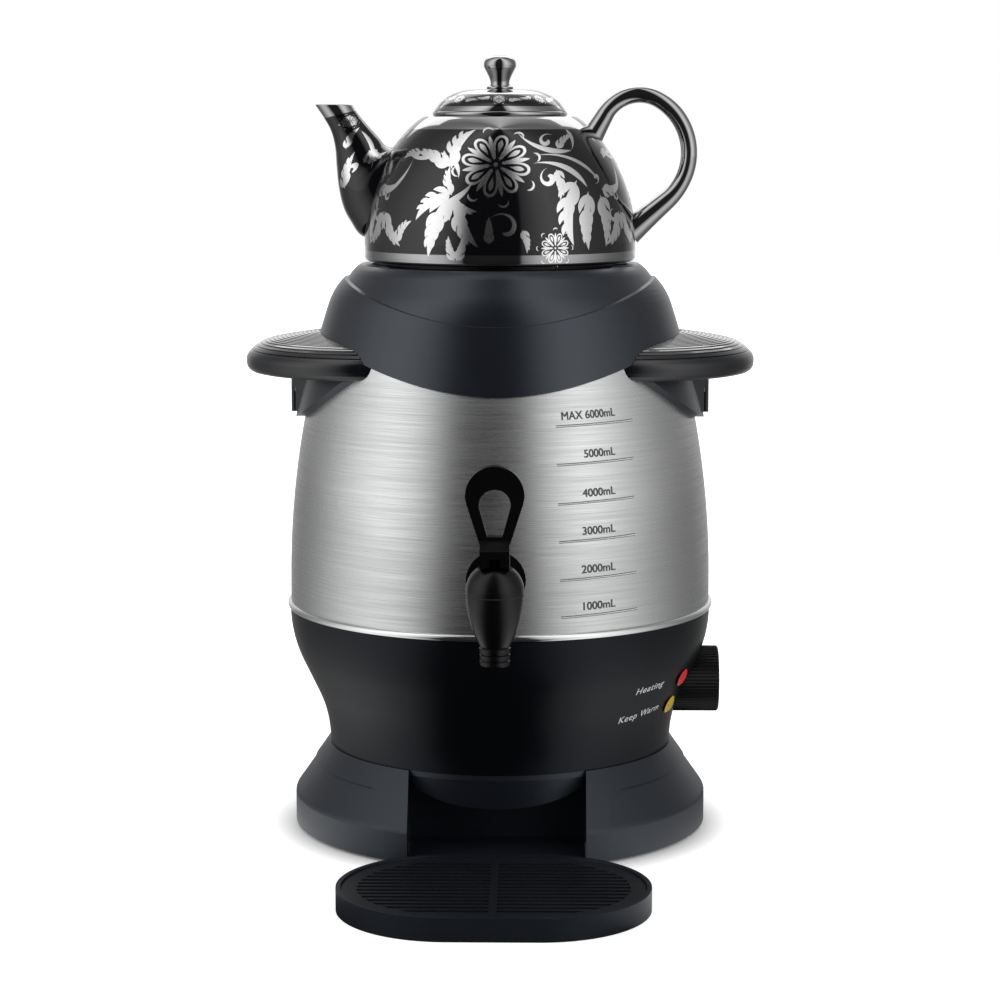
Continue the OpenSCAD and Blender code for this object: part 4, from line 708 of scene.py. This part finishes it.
# %% Laying strokes on a surface
def drape(name, strokes, surface, finish, lift=0.1 * MM, sink=0.15 * MM, mirrored=False):
    """Strips from spines and widths. surface(s, t, lift) maps flat millimetres and a height to space; mirrored
    says that it swaps left and right, so that the faces are turned over. Groups of strokes lie in seven thin
    layers, so that crossings don't meet in one plane."""
    sides = np.array([-1.0, -1.0, -0.5, 0.0, 0.5, 1.0, 1.0])
    lifts = np.array([-sink, lift, lift, lift, lift, lift, -sink])
    parts = []
    for number, (line, width) in enumerate(strokes):
        along = np.gradient(line, axis=1)
        along /= np.maximum(np.linalg.norm(along, axis=-1, keepdims=True), 1e-9)
        left = np.stack([-along[..., 1], along[..., 0]], -1)
        flat = line[:, :, None] + left[:, :, None] * width[:, :, None, None] * sides[:, None]
        up = np.broadcast_to(lifts + 0.0006 * MM * (number % 7), flat.shape[:3])
        space = surface(flat[..., 0], flat[..., 1], up)
        n, steps, across, _ = space.shape
        quads = grid_faces(steps, across, False)[:, ::1 if mirrored else -1]
        for_each = np.arange(n)[:, None, None] * steps * across + quads
        parts.append((space.reshape(-1, 3), for_each.reshape(-1, 4)))
    o = gather(name, parts, finish)
    smooth(o.data, 30)
    return o


def outline_map(rh, low, clear):
    """A map from flat millimetres to a turned surface above low: t walks along the outline (r, z) in mm, s
    round it from the front, and lift goes out along the outline's normal."""
    walked = np.concatenate([[0], np.cumsum(np.linalg.norm(np.diff(rh, axis=0), axis=1))])
    slope = np.gradient(rh, walked, axis=0)

    def surface(s, t, lift):
        r, z, dr, dz = (np.interp(t, walked, column) for column in (*rh.T, *slope.T))
        a = np.asarray(s) / np.maximum(r, clear)
        out = r * MM + lift * dz
        return np.stack([out * np.sin(a), -out * np.cos(a), low + z * MM - lift * dr], -1)

    return surface, walked


# %% The pot's scrollwork
h_table = np.linspace(0, POT_H - 1, 400)
pot_map, pot_walk = outline_map(np.stack([pot_radius(h_table), h_table], -1), pot_low, 30)


def at(angle, h):
    """Flat place of an angle round the pot (degrees from the front, to the right) and a height in mm."""
    return np.array([math.radians(angle) * float(pot_radius(h)), np.interp(h, h_table, pot_walk)])


front = [
    *flower(at(-1, 54.5), 25, 8, 11),
    # The large leaf at the lower left, of four parts on one stem
    stem(at(-11, 46), at(-25, 33), 3, 1.7), *leaf(at(-20, 38), 118, 17, -30), *leaf(at(-20, 39), 186, 27, 34),
    *leaf(at(-21, 38), 236, 36, 16), *leaf(at(-19, 37), 276, 30, 26), *leaf(at(-21, 36), 318, 17, 24),
    # The leaf above it, and a bud beyond
    stem(at(-18, 47), at(-24, 58), -2, 1.4), *leaf(at(-22, 52), 98, 29, -44), *leaf(at(-23, 53), 142, 25, 20),
    stem(at(-30, 61), at(-50, 59), 3, 1.2), *leaf(at(-43, 60), 168, 15, 30),
    # The long scroll at the right with three hanging leaves
    stem(at(17, 55), at(43, 42), 6, 1.6), stem(at(18, 59), at(52, 45), 7, 1.0),
    spiral(at(50.5, 47), 3.6, 250, 0.9, 0.9, 0.2, 1), spiral(at(23.5, 47), 6.2, 100, 1.05, 1.6, 0.2, 1),
    *leaf(at(28, 52), -66, 18, -20),
    *leaf(at(38, 46), -126, 36, 40), *leaf(at(43, 40), -100, 32, 12), *leaf(at(50, 38), -66, 29, -20),
    *leaf(at(52, 41), -14, 20, 30),
    # The swirl under the neck
    stem(at(11, 71.5), at(41, 62), -6, 1.6), stem(at(41, 62), at(45, 73), -3, 1.2),
    spiral(at(27, 67), 5.6, 40, 1.0, 1.3, 0.2, 1), *leaf(at(32, 62.5), 64, 15, -30),
    # Low sprays
    *flower(at(24, 10), 11, 8, 0), *leaf(at(-17, 3), 62, 15, 16), *leaf(at(-18, 3), 116, 14, -16),
    spiral(at(3, 21), 9.5, 150, 0.75, 1.3, 0.3, -1), *leaf(at(10, 20), -62, 13, -20),
    *leaf(at(-3.5, 12), 90, 15, 0),
    # Tendrils at the left, by the spout
    stem(at(-47, 57), at(-60, 38), 4, 1.1), spiral(at(-58, 37), 3.4, 60, 0.9, 0.9, 0.2, -1),
    *leaf(at(-58, 29), 246, 25, -24), *leaf(at(-57, 29), 292, 24, 20),
    spiral(at(-63, 26), 4.6, 60, 0.9, 1.2, 0.2, 1),
    *leaf(at(-47, 12), 70, 17, -30),
]
REPEAT_TURN = 120.0


def pot_around(turn):
    """The pot's map turned about the axis by an angle in degrees."""
    c, s = math.cos(math.radians(turn)), math.sin(math.radians(turn))
    spin = np.array([[c, -s, 0], [s, c, 0], [0, 0, 1]])
    return lambda a, t, lift: pot_map(a, t, lift) @ spin.T


for name, turn in (("front", 0), ("left", -REPEAT_TURN), ("right", REPEAT_TURN)):
    work = drape("pot_scrolls_" + name, front, pot_around(turn), LUSTRE)
    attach(work, "teapot")

# %% The lid's and the spout's scrollwork
cover = lid_profile[(lid_profile[:, 0] > BAND_R - 0.5) & (lid_profile[:, 1] > BAND_H - 0.3)]
cover_map, cover_walk = outline_map(cover, seat_z, 10)
COVER_R, COVER_FLOWERS = 31.0, 8
mid = cover_walk[-1] / 2
lid_strokes = []
for s in np.arange(COVER_FLOWERS) * 2 * math.pi * COVER_R / COVER_FLOWERS:
    lid_strokes += [*flower((s, mid), 4.4, 6, 0), *leaf((s + 5, mid - 2), 30, 8, -30),
                    *leaf((s - 5, mid + 2), 210, 8, -30)]


def lid_map(s, t, lift):
    """The cover's map, with s counted at COVER_R from the axis, so that the band closes."""
    return cover_map(np.asarray(s) * np.interp(t, cover_walk, cover[:, 0]) / COVER_R, t, lift)


lid_work = drape("pot_cover_scrolls", lid_strokes, lid_map, LUSTRE, 0.06 * MM)
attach(lid_work, "pot_lid")

SPOUT_LENGTH, SPOUT_GIRTH = 92, 60  # the flat map of the spout, in mm
rings, sides = outer.shape[:2]


def spout_map(side):
    """A map onto the spout: s goes up along it from its root, t goes across it, on the side towards the front
    (1) or the back (-1). A place is mixed from the four grid points round it."""
    def surface(s, t, lift):
        ring = np.clip(np.asarray(s) / SPOUT_LENGTH * (rings - 1), 0, rings - 1.01)
        w = (0.5 + side * (0.25 + np.asarray(t) / SPOUT_GIRTH)) % 1.0 * sides
        i, j = ring.astype(int), w.astype(int) % sides
        fi, fj = (ring - i)[..., None], (w - w.astype(int))[..., None]
        a, b, c, d = outer[i, j], outer[i + 1, j], outer[i, (j + 1) % sides], outer[i + 1, (j + 1) % sides]
        n = np.cross(b - a, c - a)
        n /= np.maximum(np.linalg.norm(n, axis=-1, keepdims=True), 1e-12)
        p = (1 - fi) * (1 - fj) * a + fi * (1 - fj) * b + (1 - fi) * fj * c + fi * fj * d
        return p - n * np.asarray(lift)[..., None]
    return surface


spout_strokes = [*flower((74, 3.5), 7.0, 8, 0), *leaf((36, -8), 8, 17, 24), *leaf((56, -4), 24, 14, 30),
                 *leaf((46, 5), 186, 17, -30), spiral((42, -3), 5.0, 200, 1.0, 1.1, 0.2, 1),
                 stem((30, 2), (62, 6), 3, 1.0)]
for name, side in (("front", 1), ("back", -1)):
    work = drape("spout_scrolls_" + name, spout_strokes, spout_map(side), LUSTRE, mirrored=side > 0)
    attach(work, "teapot")

# %% [markdown]
# ## Printed marks
# Each level line is a grey band with a pale middle: the middle is a painted highlight, the grey edges painted
# shadow.
# The boiler carries six plain level lines with their volumes, and the two lamps have plain words beside them.
# Letters are set as text, turned to triangles, and laid on the turned surface with the same kind of map as the
# scrollwork, so that they follow the drum. The place above the tap stays bare.

# %% Print finishes and lettering
def ink(name, colour, rough):
    """Screen print: a matt film whose density wavers a little."""
    m, t, p = base(name, colour, 0.0, rough)
    g = use(t, GRAIN, Size=2200.0)
    drift(t, p, g.outputs["Sheen Change"], tuple(c * 0.8 for c in colour), colour)
    return m


GREY_INK = ink("grey_ink", (0.11, 0.112, 0.115), 0.5)
# A pale ink for the painted highlight down the middle of each level line
HIGHLIGHT_INK = ink("painted_highlight_ink", (0.95, 0.95, 0.95), 0.4)
WHITE_INK = ink("white_ink", (0.95, 0.95, 0.95), 0.45)


def lettering(words, size, wider, spacing=1.0, slope=0.0):
    """Flat triangles of a line of text, in mm: points (n, 2) and corners (m, 3)."""
    curve = bpy.data.curves.new("words", "FONT")
    curve.body, curve.size, curve.resolution_u = words, size, 6
    curve.space_character, curve.shear = spacing, slope
    o = bpy.data.objects.new("words", curve)
    mesh = bpy.data.meshes.new_from_object(o)
    mesh.calc_loop_triangles()
    xy = np.array([v.co[:2] for v in mesh.vertices]) * [wider, 1.0]
    corners = np.array([c.vertices[:] for c in mesh.loop_triangles])
    bpy.data.objects.remove(o)
    bpy.data.curves.remove(curve)
    bpy.data.meshes.remove(mesh)
    return xy, corners


def printed(name, texts, surface, finish, lift):
    """One mesh of several lines of text, each as (points, corners, place, tilt in degrees). Neighbouring lines
    lie in thin layers, so that copies printed over each other don't meet in one plane."""
    parts = []
    for xy, corners, place, tilt in texts:
        c, s = math.cos(math.radians(tilt)), math.sin(math.radians(tilt))
        flat = xy @ np.array([[c, s], [-s, c]]) + place
        layer = lift * (1 + 0.03 * (len(parts) % 6))
        parts.append((surface(flat[:, 0], flat[:, 1], np.full(len(flat), layer)), corners))
    return gather(name, parts, finish)


# %% The boiler's outline
steel_low, steel_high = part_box("steel_body")
TANK_R, RIM_R = steel_high[0], 97 * MM
STRAIGHT_Z = steel_low[2] + 10.4 * MM
tank_rise = steel_high[2] - STRAIGHT_Z
TANK_ARC = (tank_rise ** 2 + (TANK_R - RIM_R) ** 2) / (2 * (TANK_R - RIM_R))


def drum_map(s, t, lift):
    """s mm round the drum from the front, t mm above the table: radius is the arc's, as the wall leans in."""
    z = np.asarray(t) * MM
    r = TANK_R - TANK_ARC + np.sqrt(TANK_ARC ** 2 - np.maximum(z - STRAIGHT_Z, 0) ** 2) + lift
    a = np.asarray(s) * MM / TANK_R
    return np.stack([r * np.sin(a), -r * np.cos(a), z], -1)


def on_drum(x, z):
    """Flat place of a point seen from the front at x, z in mm."""
    r = float(TANK_R - TANK_ARC + math.sqrt(TANK_ARC ** 2 - max(z * MM - STRAIGHT_Z, 0) ** 2)) / MM
    return np.array([math.asin(x / r) * TANK_R / MM, z])


# %% Level lines and volumes
LEVELS = (138.7, 158.6, 179.0, 199.0, 219.6, 239.7)  # heights in mm
LINE_LEFT, LINE_RIGHT, LINE_SHIFT, LINE_RISE = 31.5, 72.5, 0.6, (-0.6, 0.5)


def levels_at(up, thick):
    """The level lines as even strokes, moved up in all. Each rises a little to the right, and starts a little
    further round than the one above."""
    lines = []
    for n, z in enumerate(LEVELS, 1):
        across = LINE_SHIFT * (len(LEVELS) - n)
        a = on_drum(LINE_LEFT + across, z + up + LINE_RISE[0])
        b = on_drum(LINE_RIGHT + across, z + up + LINE_RISE[1])
        lines.append(a + (b - a) * np.linspace(0, 1, STROKE_STEPS)[:, None])
    return [(np.stack(lines), np.full((len(lines), STROKE_STEPS), thick / 2))]


# Each level mark is a grey band whose edges are painted shadow, with a pale painted highlight down its middle
dark_lines = drape("level_lines", levels_at(0.0, 1.3), drum_map, GREY_INK, 0.04 * MM)
painted_highlight_lines = drape("level_painted_highlights", levels_at(-0.05, 0.6), drum_map, HIGHLIGHT_INK, 0.07 * MM)
WORD_H, WIDER, WORD_END, WORD_UP, TILT = 6.0, 1.05, 63.5, 2.6, 1.4
BOLD = 0.17  # how far the copies of a word are shifted to make it bold
volumes = []
for number, z in enumerate(LEVELS, 1):
    words = ("MAX " if number == len(LEVELS) else "") + f"{number}000mL"
    xy, corners = lettering(words, WORD_H, WIDER)
    start = np.array([on_drum(WORD_END, z)[0] - xy[:, 0].max(), z + WORD_UP])
    volumes += [(xy, corners, start + [dx, dy], TILT) for dx in (-BOLD, 0, BOLD) for dy in (0, BOLD)]
numerals = printed("level_numerals", volumes, drum_map, GREY_INK, 0.05 * MM)
for mark in (dark_lines, painted_highlight_lines, numerals):
    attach(mark, "urn")

# %% Words beside the lamps
FOOT_H, SEAM_R, FLARE = 47.5 * MM, 97.6 * MM, math.radians(25.5)
MAP_R = 105.0  # mm from the axis, where s is counted on the housing
HOUSING_TOP, HOUSING_R = steel_low[2] - 4 * MM, TANK_R + 0.4 * MM
flare_r = (((HOUSING_TOP - FOOT_H) * math.tan(FLARE) - (HOUSING_R - SEAM_R))
           / (2 * (math.sin(FLARE) * math.tan(FLARE) - 1 + math.cos(FLARE))))


def housing_map(s, t, lift):
    """s mm round the housing at MAP_R from the axis, t mm above the table; the wall is a hollow arc, a straight
    lean and a full arc."""
    z = np.asarray(t) * MM
    hollow = SEAM_R + flare_r - np.sqrt(flare_r ** 2 - np.clip(z - FOOT_H, 0, flare_r) ** 2)
    full = HOUSING_R - flare_r + np.sqrt(flare_r ** 2 - np.clip(HOUSING_TOP - z, 0, flare_r) ** 2)
    lean = SEAM_R + flare_r * (1 - math.cos(FLARE)) + (z - FOOT_H - flare_r * math.sin(FLARE)) * math.tan(FLARE)
    r = np.where(z < FOOT_H + flare_r * math.sin(FLARE), hollow,
                 np.where(z > HOUSING_TOP - flare_r * math.sin(FLARE), full, lean))
    a = np.asarray(s) / MAP_R
    out, up = r + lift * math.cos(FLARE), z - lift * math.sin(FLARE)
    return np.stack([out * np.sin(a), -out * np.cos(a), up], -1)


LABEL_H, LABEL_WIDER, LABEL_SPACING, LABEL_SLOPE, LABEL_TILT = 5.6, 1.12, 1.12, 0.12, 5.0
labels = []
for words, x, y, z in (("Heating", 76, 81, 88.6), ("Keep Warm", 65.5, 78, 72.2)):
    xy, corners = lettering(words, LABEL_H, LABEL_WIDER, LABEL_SPACING, LABEL_SLOPE)
    start = np.array([math.atan2(x, y) * MAP_R, z])
    labels += [(xy, corners, start + [dx, dy], LABEL_TILT) for dx in (0, BOLD) for dy in (0, 0.5 * BOLD)]
lamp_words = printed("lamp_words", labels, housing_map, WHITE_INK, 0.08 * MM)
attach(lamp_words, "urn")

# %% [markdown]
# ## Lamp windows and the tap's seam
# Each pilot lamp is a moulded window: a stem in the holder and a domed cap that covers its rim. They are
# turned shapes set square to the leaning wall. Where the tap's two halves are screwed together, a fine dark
# joint shows.

# %% Windows and seam
LENS_SEAT, STEM_R, CAP_R, CAP_H, CAP_UNDER, RIM_UP = 5.0, 3.45, 5.3, 2.6, 0.92, 0.95  # mm
dome_r = (CAP_R ** 2 + (CAP_H - RIM_UP) ** 2) / (2 * (CAP_H - RIM_UP))
dome_half = math.degrees(math.asin(CAP_R / dome_r))
window_profile = stack_profile(
    [(0, -LENS_SEAT), (STEM_R, -LENS_SEAT), (STEM_R, CAP_UNDER), (CAP_R - 0.2, CAP_UNDER)],
    arc((0, CAP_H - dome_r), dome_r, 90 - dome_half, 90, 14)) * MM
LENS_ANGLE, LENS_LEAN = math.radians(23.6), 0.9 * FLARE
for name, slot, z in (("red_lens", "red_window", 91.7), ("amber_lens", "amber_window", 75.7)):
    origin = housing_map(np.array([(math.pi / 2 - LENS_ANGLE) * MAP_R]), np.array([z]), 0.0)[0]
    level = math.cos(LENS_LEAN)
    away = Vector((level * math.cos(LENS_ANGLE), -level * math.sin(LENS_ANGLE), -math.sin(LENS_LEAN)))
    turn = np.array(away.to_track_quat("Z", "Y").to_matrix())
    shape = revolve(window_profile, 64) @ turn.T + origin
    cap = piece(name + "_cap", shape, [FINISH[slot]], sharp=50)
    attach(cap, "urn")
    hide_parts(name)

tap_low, tap_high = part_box("tap_bonnet")
JOINT_R, JOINT_H, JOINT_DEEP, JOINT_DOWN = 15.22, 0.25, 0.3, 14  # mm, the last from the tap's top
joint_profile = floats([(-JOINT_DEEP, -JOINT_H), (0, -JOINT_H), (0, JOINT_H), (-JOINT_DEEP, JOINT_H),
                        (-JOINT_DEEP, -JOINT_H)]) + [JOINT_R, 0]
axis_x, axis_y = (tap_low[0] + tap_high[0]) / 2, (tap_low[1] + tap_high[1]) / 2
shape = revolve(joint_profile * MM, 128) + [axis_x, axis_y, tap_high[2] - JOINT_DOWN * MM]
joint = piece("tap_joint", shape, [FINISH["foot_rubber"]])
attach(joint, "urn")

# %% [markdown]
# ## The studio
# Steel and gloss plastic are best lit by large soft panels with a dark room between them, because a curved
# mirror only has a shape when it has something to mirror. Here the world itself is that room: its brightness
# depends on the direction round the object. In front, where the camera stands, it is dark; a soft panel stands
# on each side; behind the object is the white backdrop, which mirrors see as well. The pale floor mirrors the
# same room to metal and gloss, keeps the object's shadow, and pales to white further out, so that it has no
# edge. Past the object the camera sees plain white.

# %% A lamp behind and above
LAMP_AT, LAMP_AIM = Vector((0, 0.95, 1.15)), Vector((0, 0, 0.3))
lamp = bpy.data.lights.new("overhead", "AREA")
lamp.shape, lamp.energy = "RECTANGLE", 5
lamp.size, lamp.size_y = 1.4, 0.7
overhead = add_object("overhead", lamp)
overhead.location = LAMP_AT
overhead.rotation_euler = (LAMP_AIM - LAMP_AT).to_track_quat("-Z", "Y").to_euler()
print("lamp at", tuple(LAMP_AT))

# %% The room as a world
# Brightness of the room by direction: degrees from the camera, to the right
ROOM = ((-180, 1.0), (-160, 0.75), (-136, 0.28), (-117, 0.36), (-103, 0.58), (-91, 0.92), (-80, 1.2),
        (-65, 1.5), (-48, 1.2), (-31, 0.26), (-30, 0.03), (18, 0.03), (19, 0.4), (36, 1.2), (46, 1.5),
        (63, 1.15), (83, 0.6), (106, 0.3), (130, 0.26), (160, 0.75), (180, 1.0))
ROOM_PEAK = max(grey for degrees, grey in ROOM)


def make_room():
    """The direction's angle round the object, from the camera's side, picks a brightness from ROOM."""
    g, into, out = effect("Room", {"Direction": (0.0, 0.0, 0.0)}, ("Brightness",))
    angle = angle_round(g, split_xyz(g, into["Direction"]))
    place = math_node(g, "ADD", math_node(g, "DIVIDE", angle, 2 * math.pi), 0.5)
    bright = ramp(g, place, [(degrees / 360 + 0.5, grey / ROOM_PEAK) for degrees, grey in ROOM])
    join(g, times(g, bright, ROOM_PEAK), out["Brightness"])
    return g


def seen_straight(tree):
    """1 for rays from the camera, straight or through a clear piece."""
    path = tree.nodes.new("ShaderNodeLightPath").outputs
    return math_node(tree, "MAXIMUM", path["Is Camera Ray"], path["Is Transmission Ray"])


def mix_shaders(tree, share, one, two):
    """A Mix Shader: one where share is 0, two where it is 1."""
    n = tree.nodes.new("ShaderNodeMixShader")
    for i, socket in enumerate((share, one, two)):
        join(tree, socket, n.inputs[i])
    return n.outputs[0]


ROOM_LIGHT = make_room()
world = bpy.data.worlds.new("studio")
bpy.context.scene.world = world
world.use_nodes = True
wt = world.node_tree
wt.nodes.clear()
white = put(wt, "ShaderNodeBackground", Color=(1, 1, 1, 1), Strength=1.0)
room = put(wt, "ShaderNodeBackground", Color=(1, 1, 1, 1))
looking = wt.nodes.new("ShaderNodeTexCoord")
bright = use(wt, ROOM_LIGHT)
join(wt, looking.outputs["Generated"], bright.inputs["Direction"])
join(wt, bright.outputs["Brightness"], room.inputs["Strength"])
sky = wt.nodes.new("ShaderNodeOutputWorld")
join(wt, mix_shaders(wt, seen_straight(wt), room.outputs[0], white.outputs[0]), sky.inputs[0])
print("room of", len(ROOM), "directions, brightest", ROOM_PEAK)

# %% The floor
FLOOR_REACH, FLOOR_MIRROR = 6.0, 0.8
PALE_FROM, PALE_TO, PALE_START = 0.3, 1.0, 0.68  # metres from the axis, and the glow nearest the object
# The floor loses its glow under the foot and in a ring just outside it: a painted contact shadow
UNDER_FROM, UNDER_TO = 0.112, 0.135  # no glow under the foot
fm, ft, fp = base("floor", (0.85, 0.85, 0.85), 0.0, 0.7, Emission_Color=(1, 1, 1, 1))
spot = coordinates(ft)
away = put(ft, "ShaderNodeVectorMath", operation="LENGTH")
join(ft, spot, away.inputs[0])
beyond = map_range(ft, away.outputs["Value"], From_Min=PALE_FROM, From_Max=PALE_TO, To_Min=PALE_START)
# Without glow under the foot and just outside it, a ring of floor darkens round the foot, as painted shadow
painted_shadow_ring = map_range(ft, away.outputs["Value"], From_Min=UNDER_FROM, From_Max=UNDER_TO)
glow = times(ft, beyond, painted_shadow_ring)
join(ft, times(ft, seen_straight(ft), glow), fp.inputs["Emission Strength"])
mirrored_room = use(ft, ROOM_LIGHT)
join(ft, spot, mirrored_room.inputs["Direction"])
in_mirror = ft.nodes.new("ShaderNodeEmission")
mirror_strength = times(ft, mirrored_room.outputs["Brightness"], FLOOR_MIRROR)
join(ft, mirror_strength, in_mirror.inputs["Strength"])
glossy = ft.nodes.new("ShaderNodeLightPath").outputs["Is Glossy Ray"]
both = mix_shaders(ft, glossy, fp.outputs[0], in_mirror.outputs[0])
join(ft, both, ft.nodes["Material Output"].inputs[0])
corners = FLOOR_REACH * np.array([(-1, -1, 0), (1, -1, 0), (1, 1, 0), (-1, 1, 0)])
floor = add_mesh("floor", corners, np.array([(0, 1, 2, 3)]), [fm])
print("floor of", 2 * FLOOR_REACH, "m")

# %% The camera
DISTANCE, HEIGHT, SIDE, DOWN = 1.5, 0.4, math.radians(1.0), math.radians(8.165)
cam_data = bpy.data.cameras.new("camera")
cam_data.sensor_width, cam_data.lens = 36.0, 95.5
camera = add_object("camera", cam_data)
camera.location = (DISTANCE * math.sin(SIDE), -DISTANCE * math.cos(SIDE), HEIGHT)
camera.rotation_euler = (math.pi / 2 - DOWN, 0, SIDE)
bpy.context.scene.camera = camera
bpy.context.scene.view_settings.view_transform = "Standard"
print("camera at", tuple(round(c, 3) for c in camera.location))
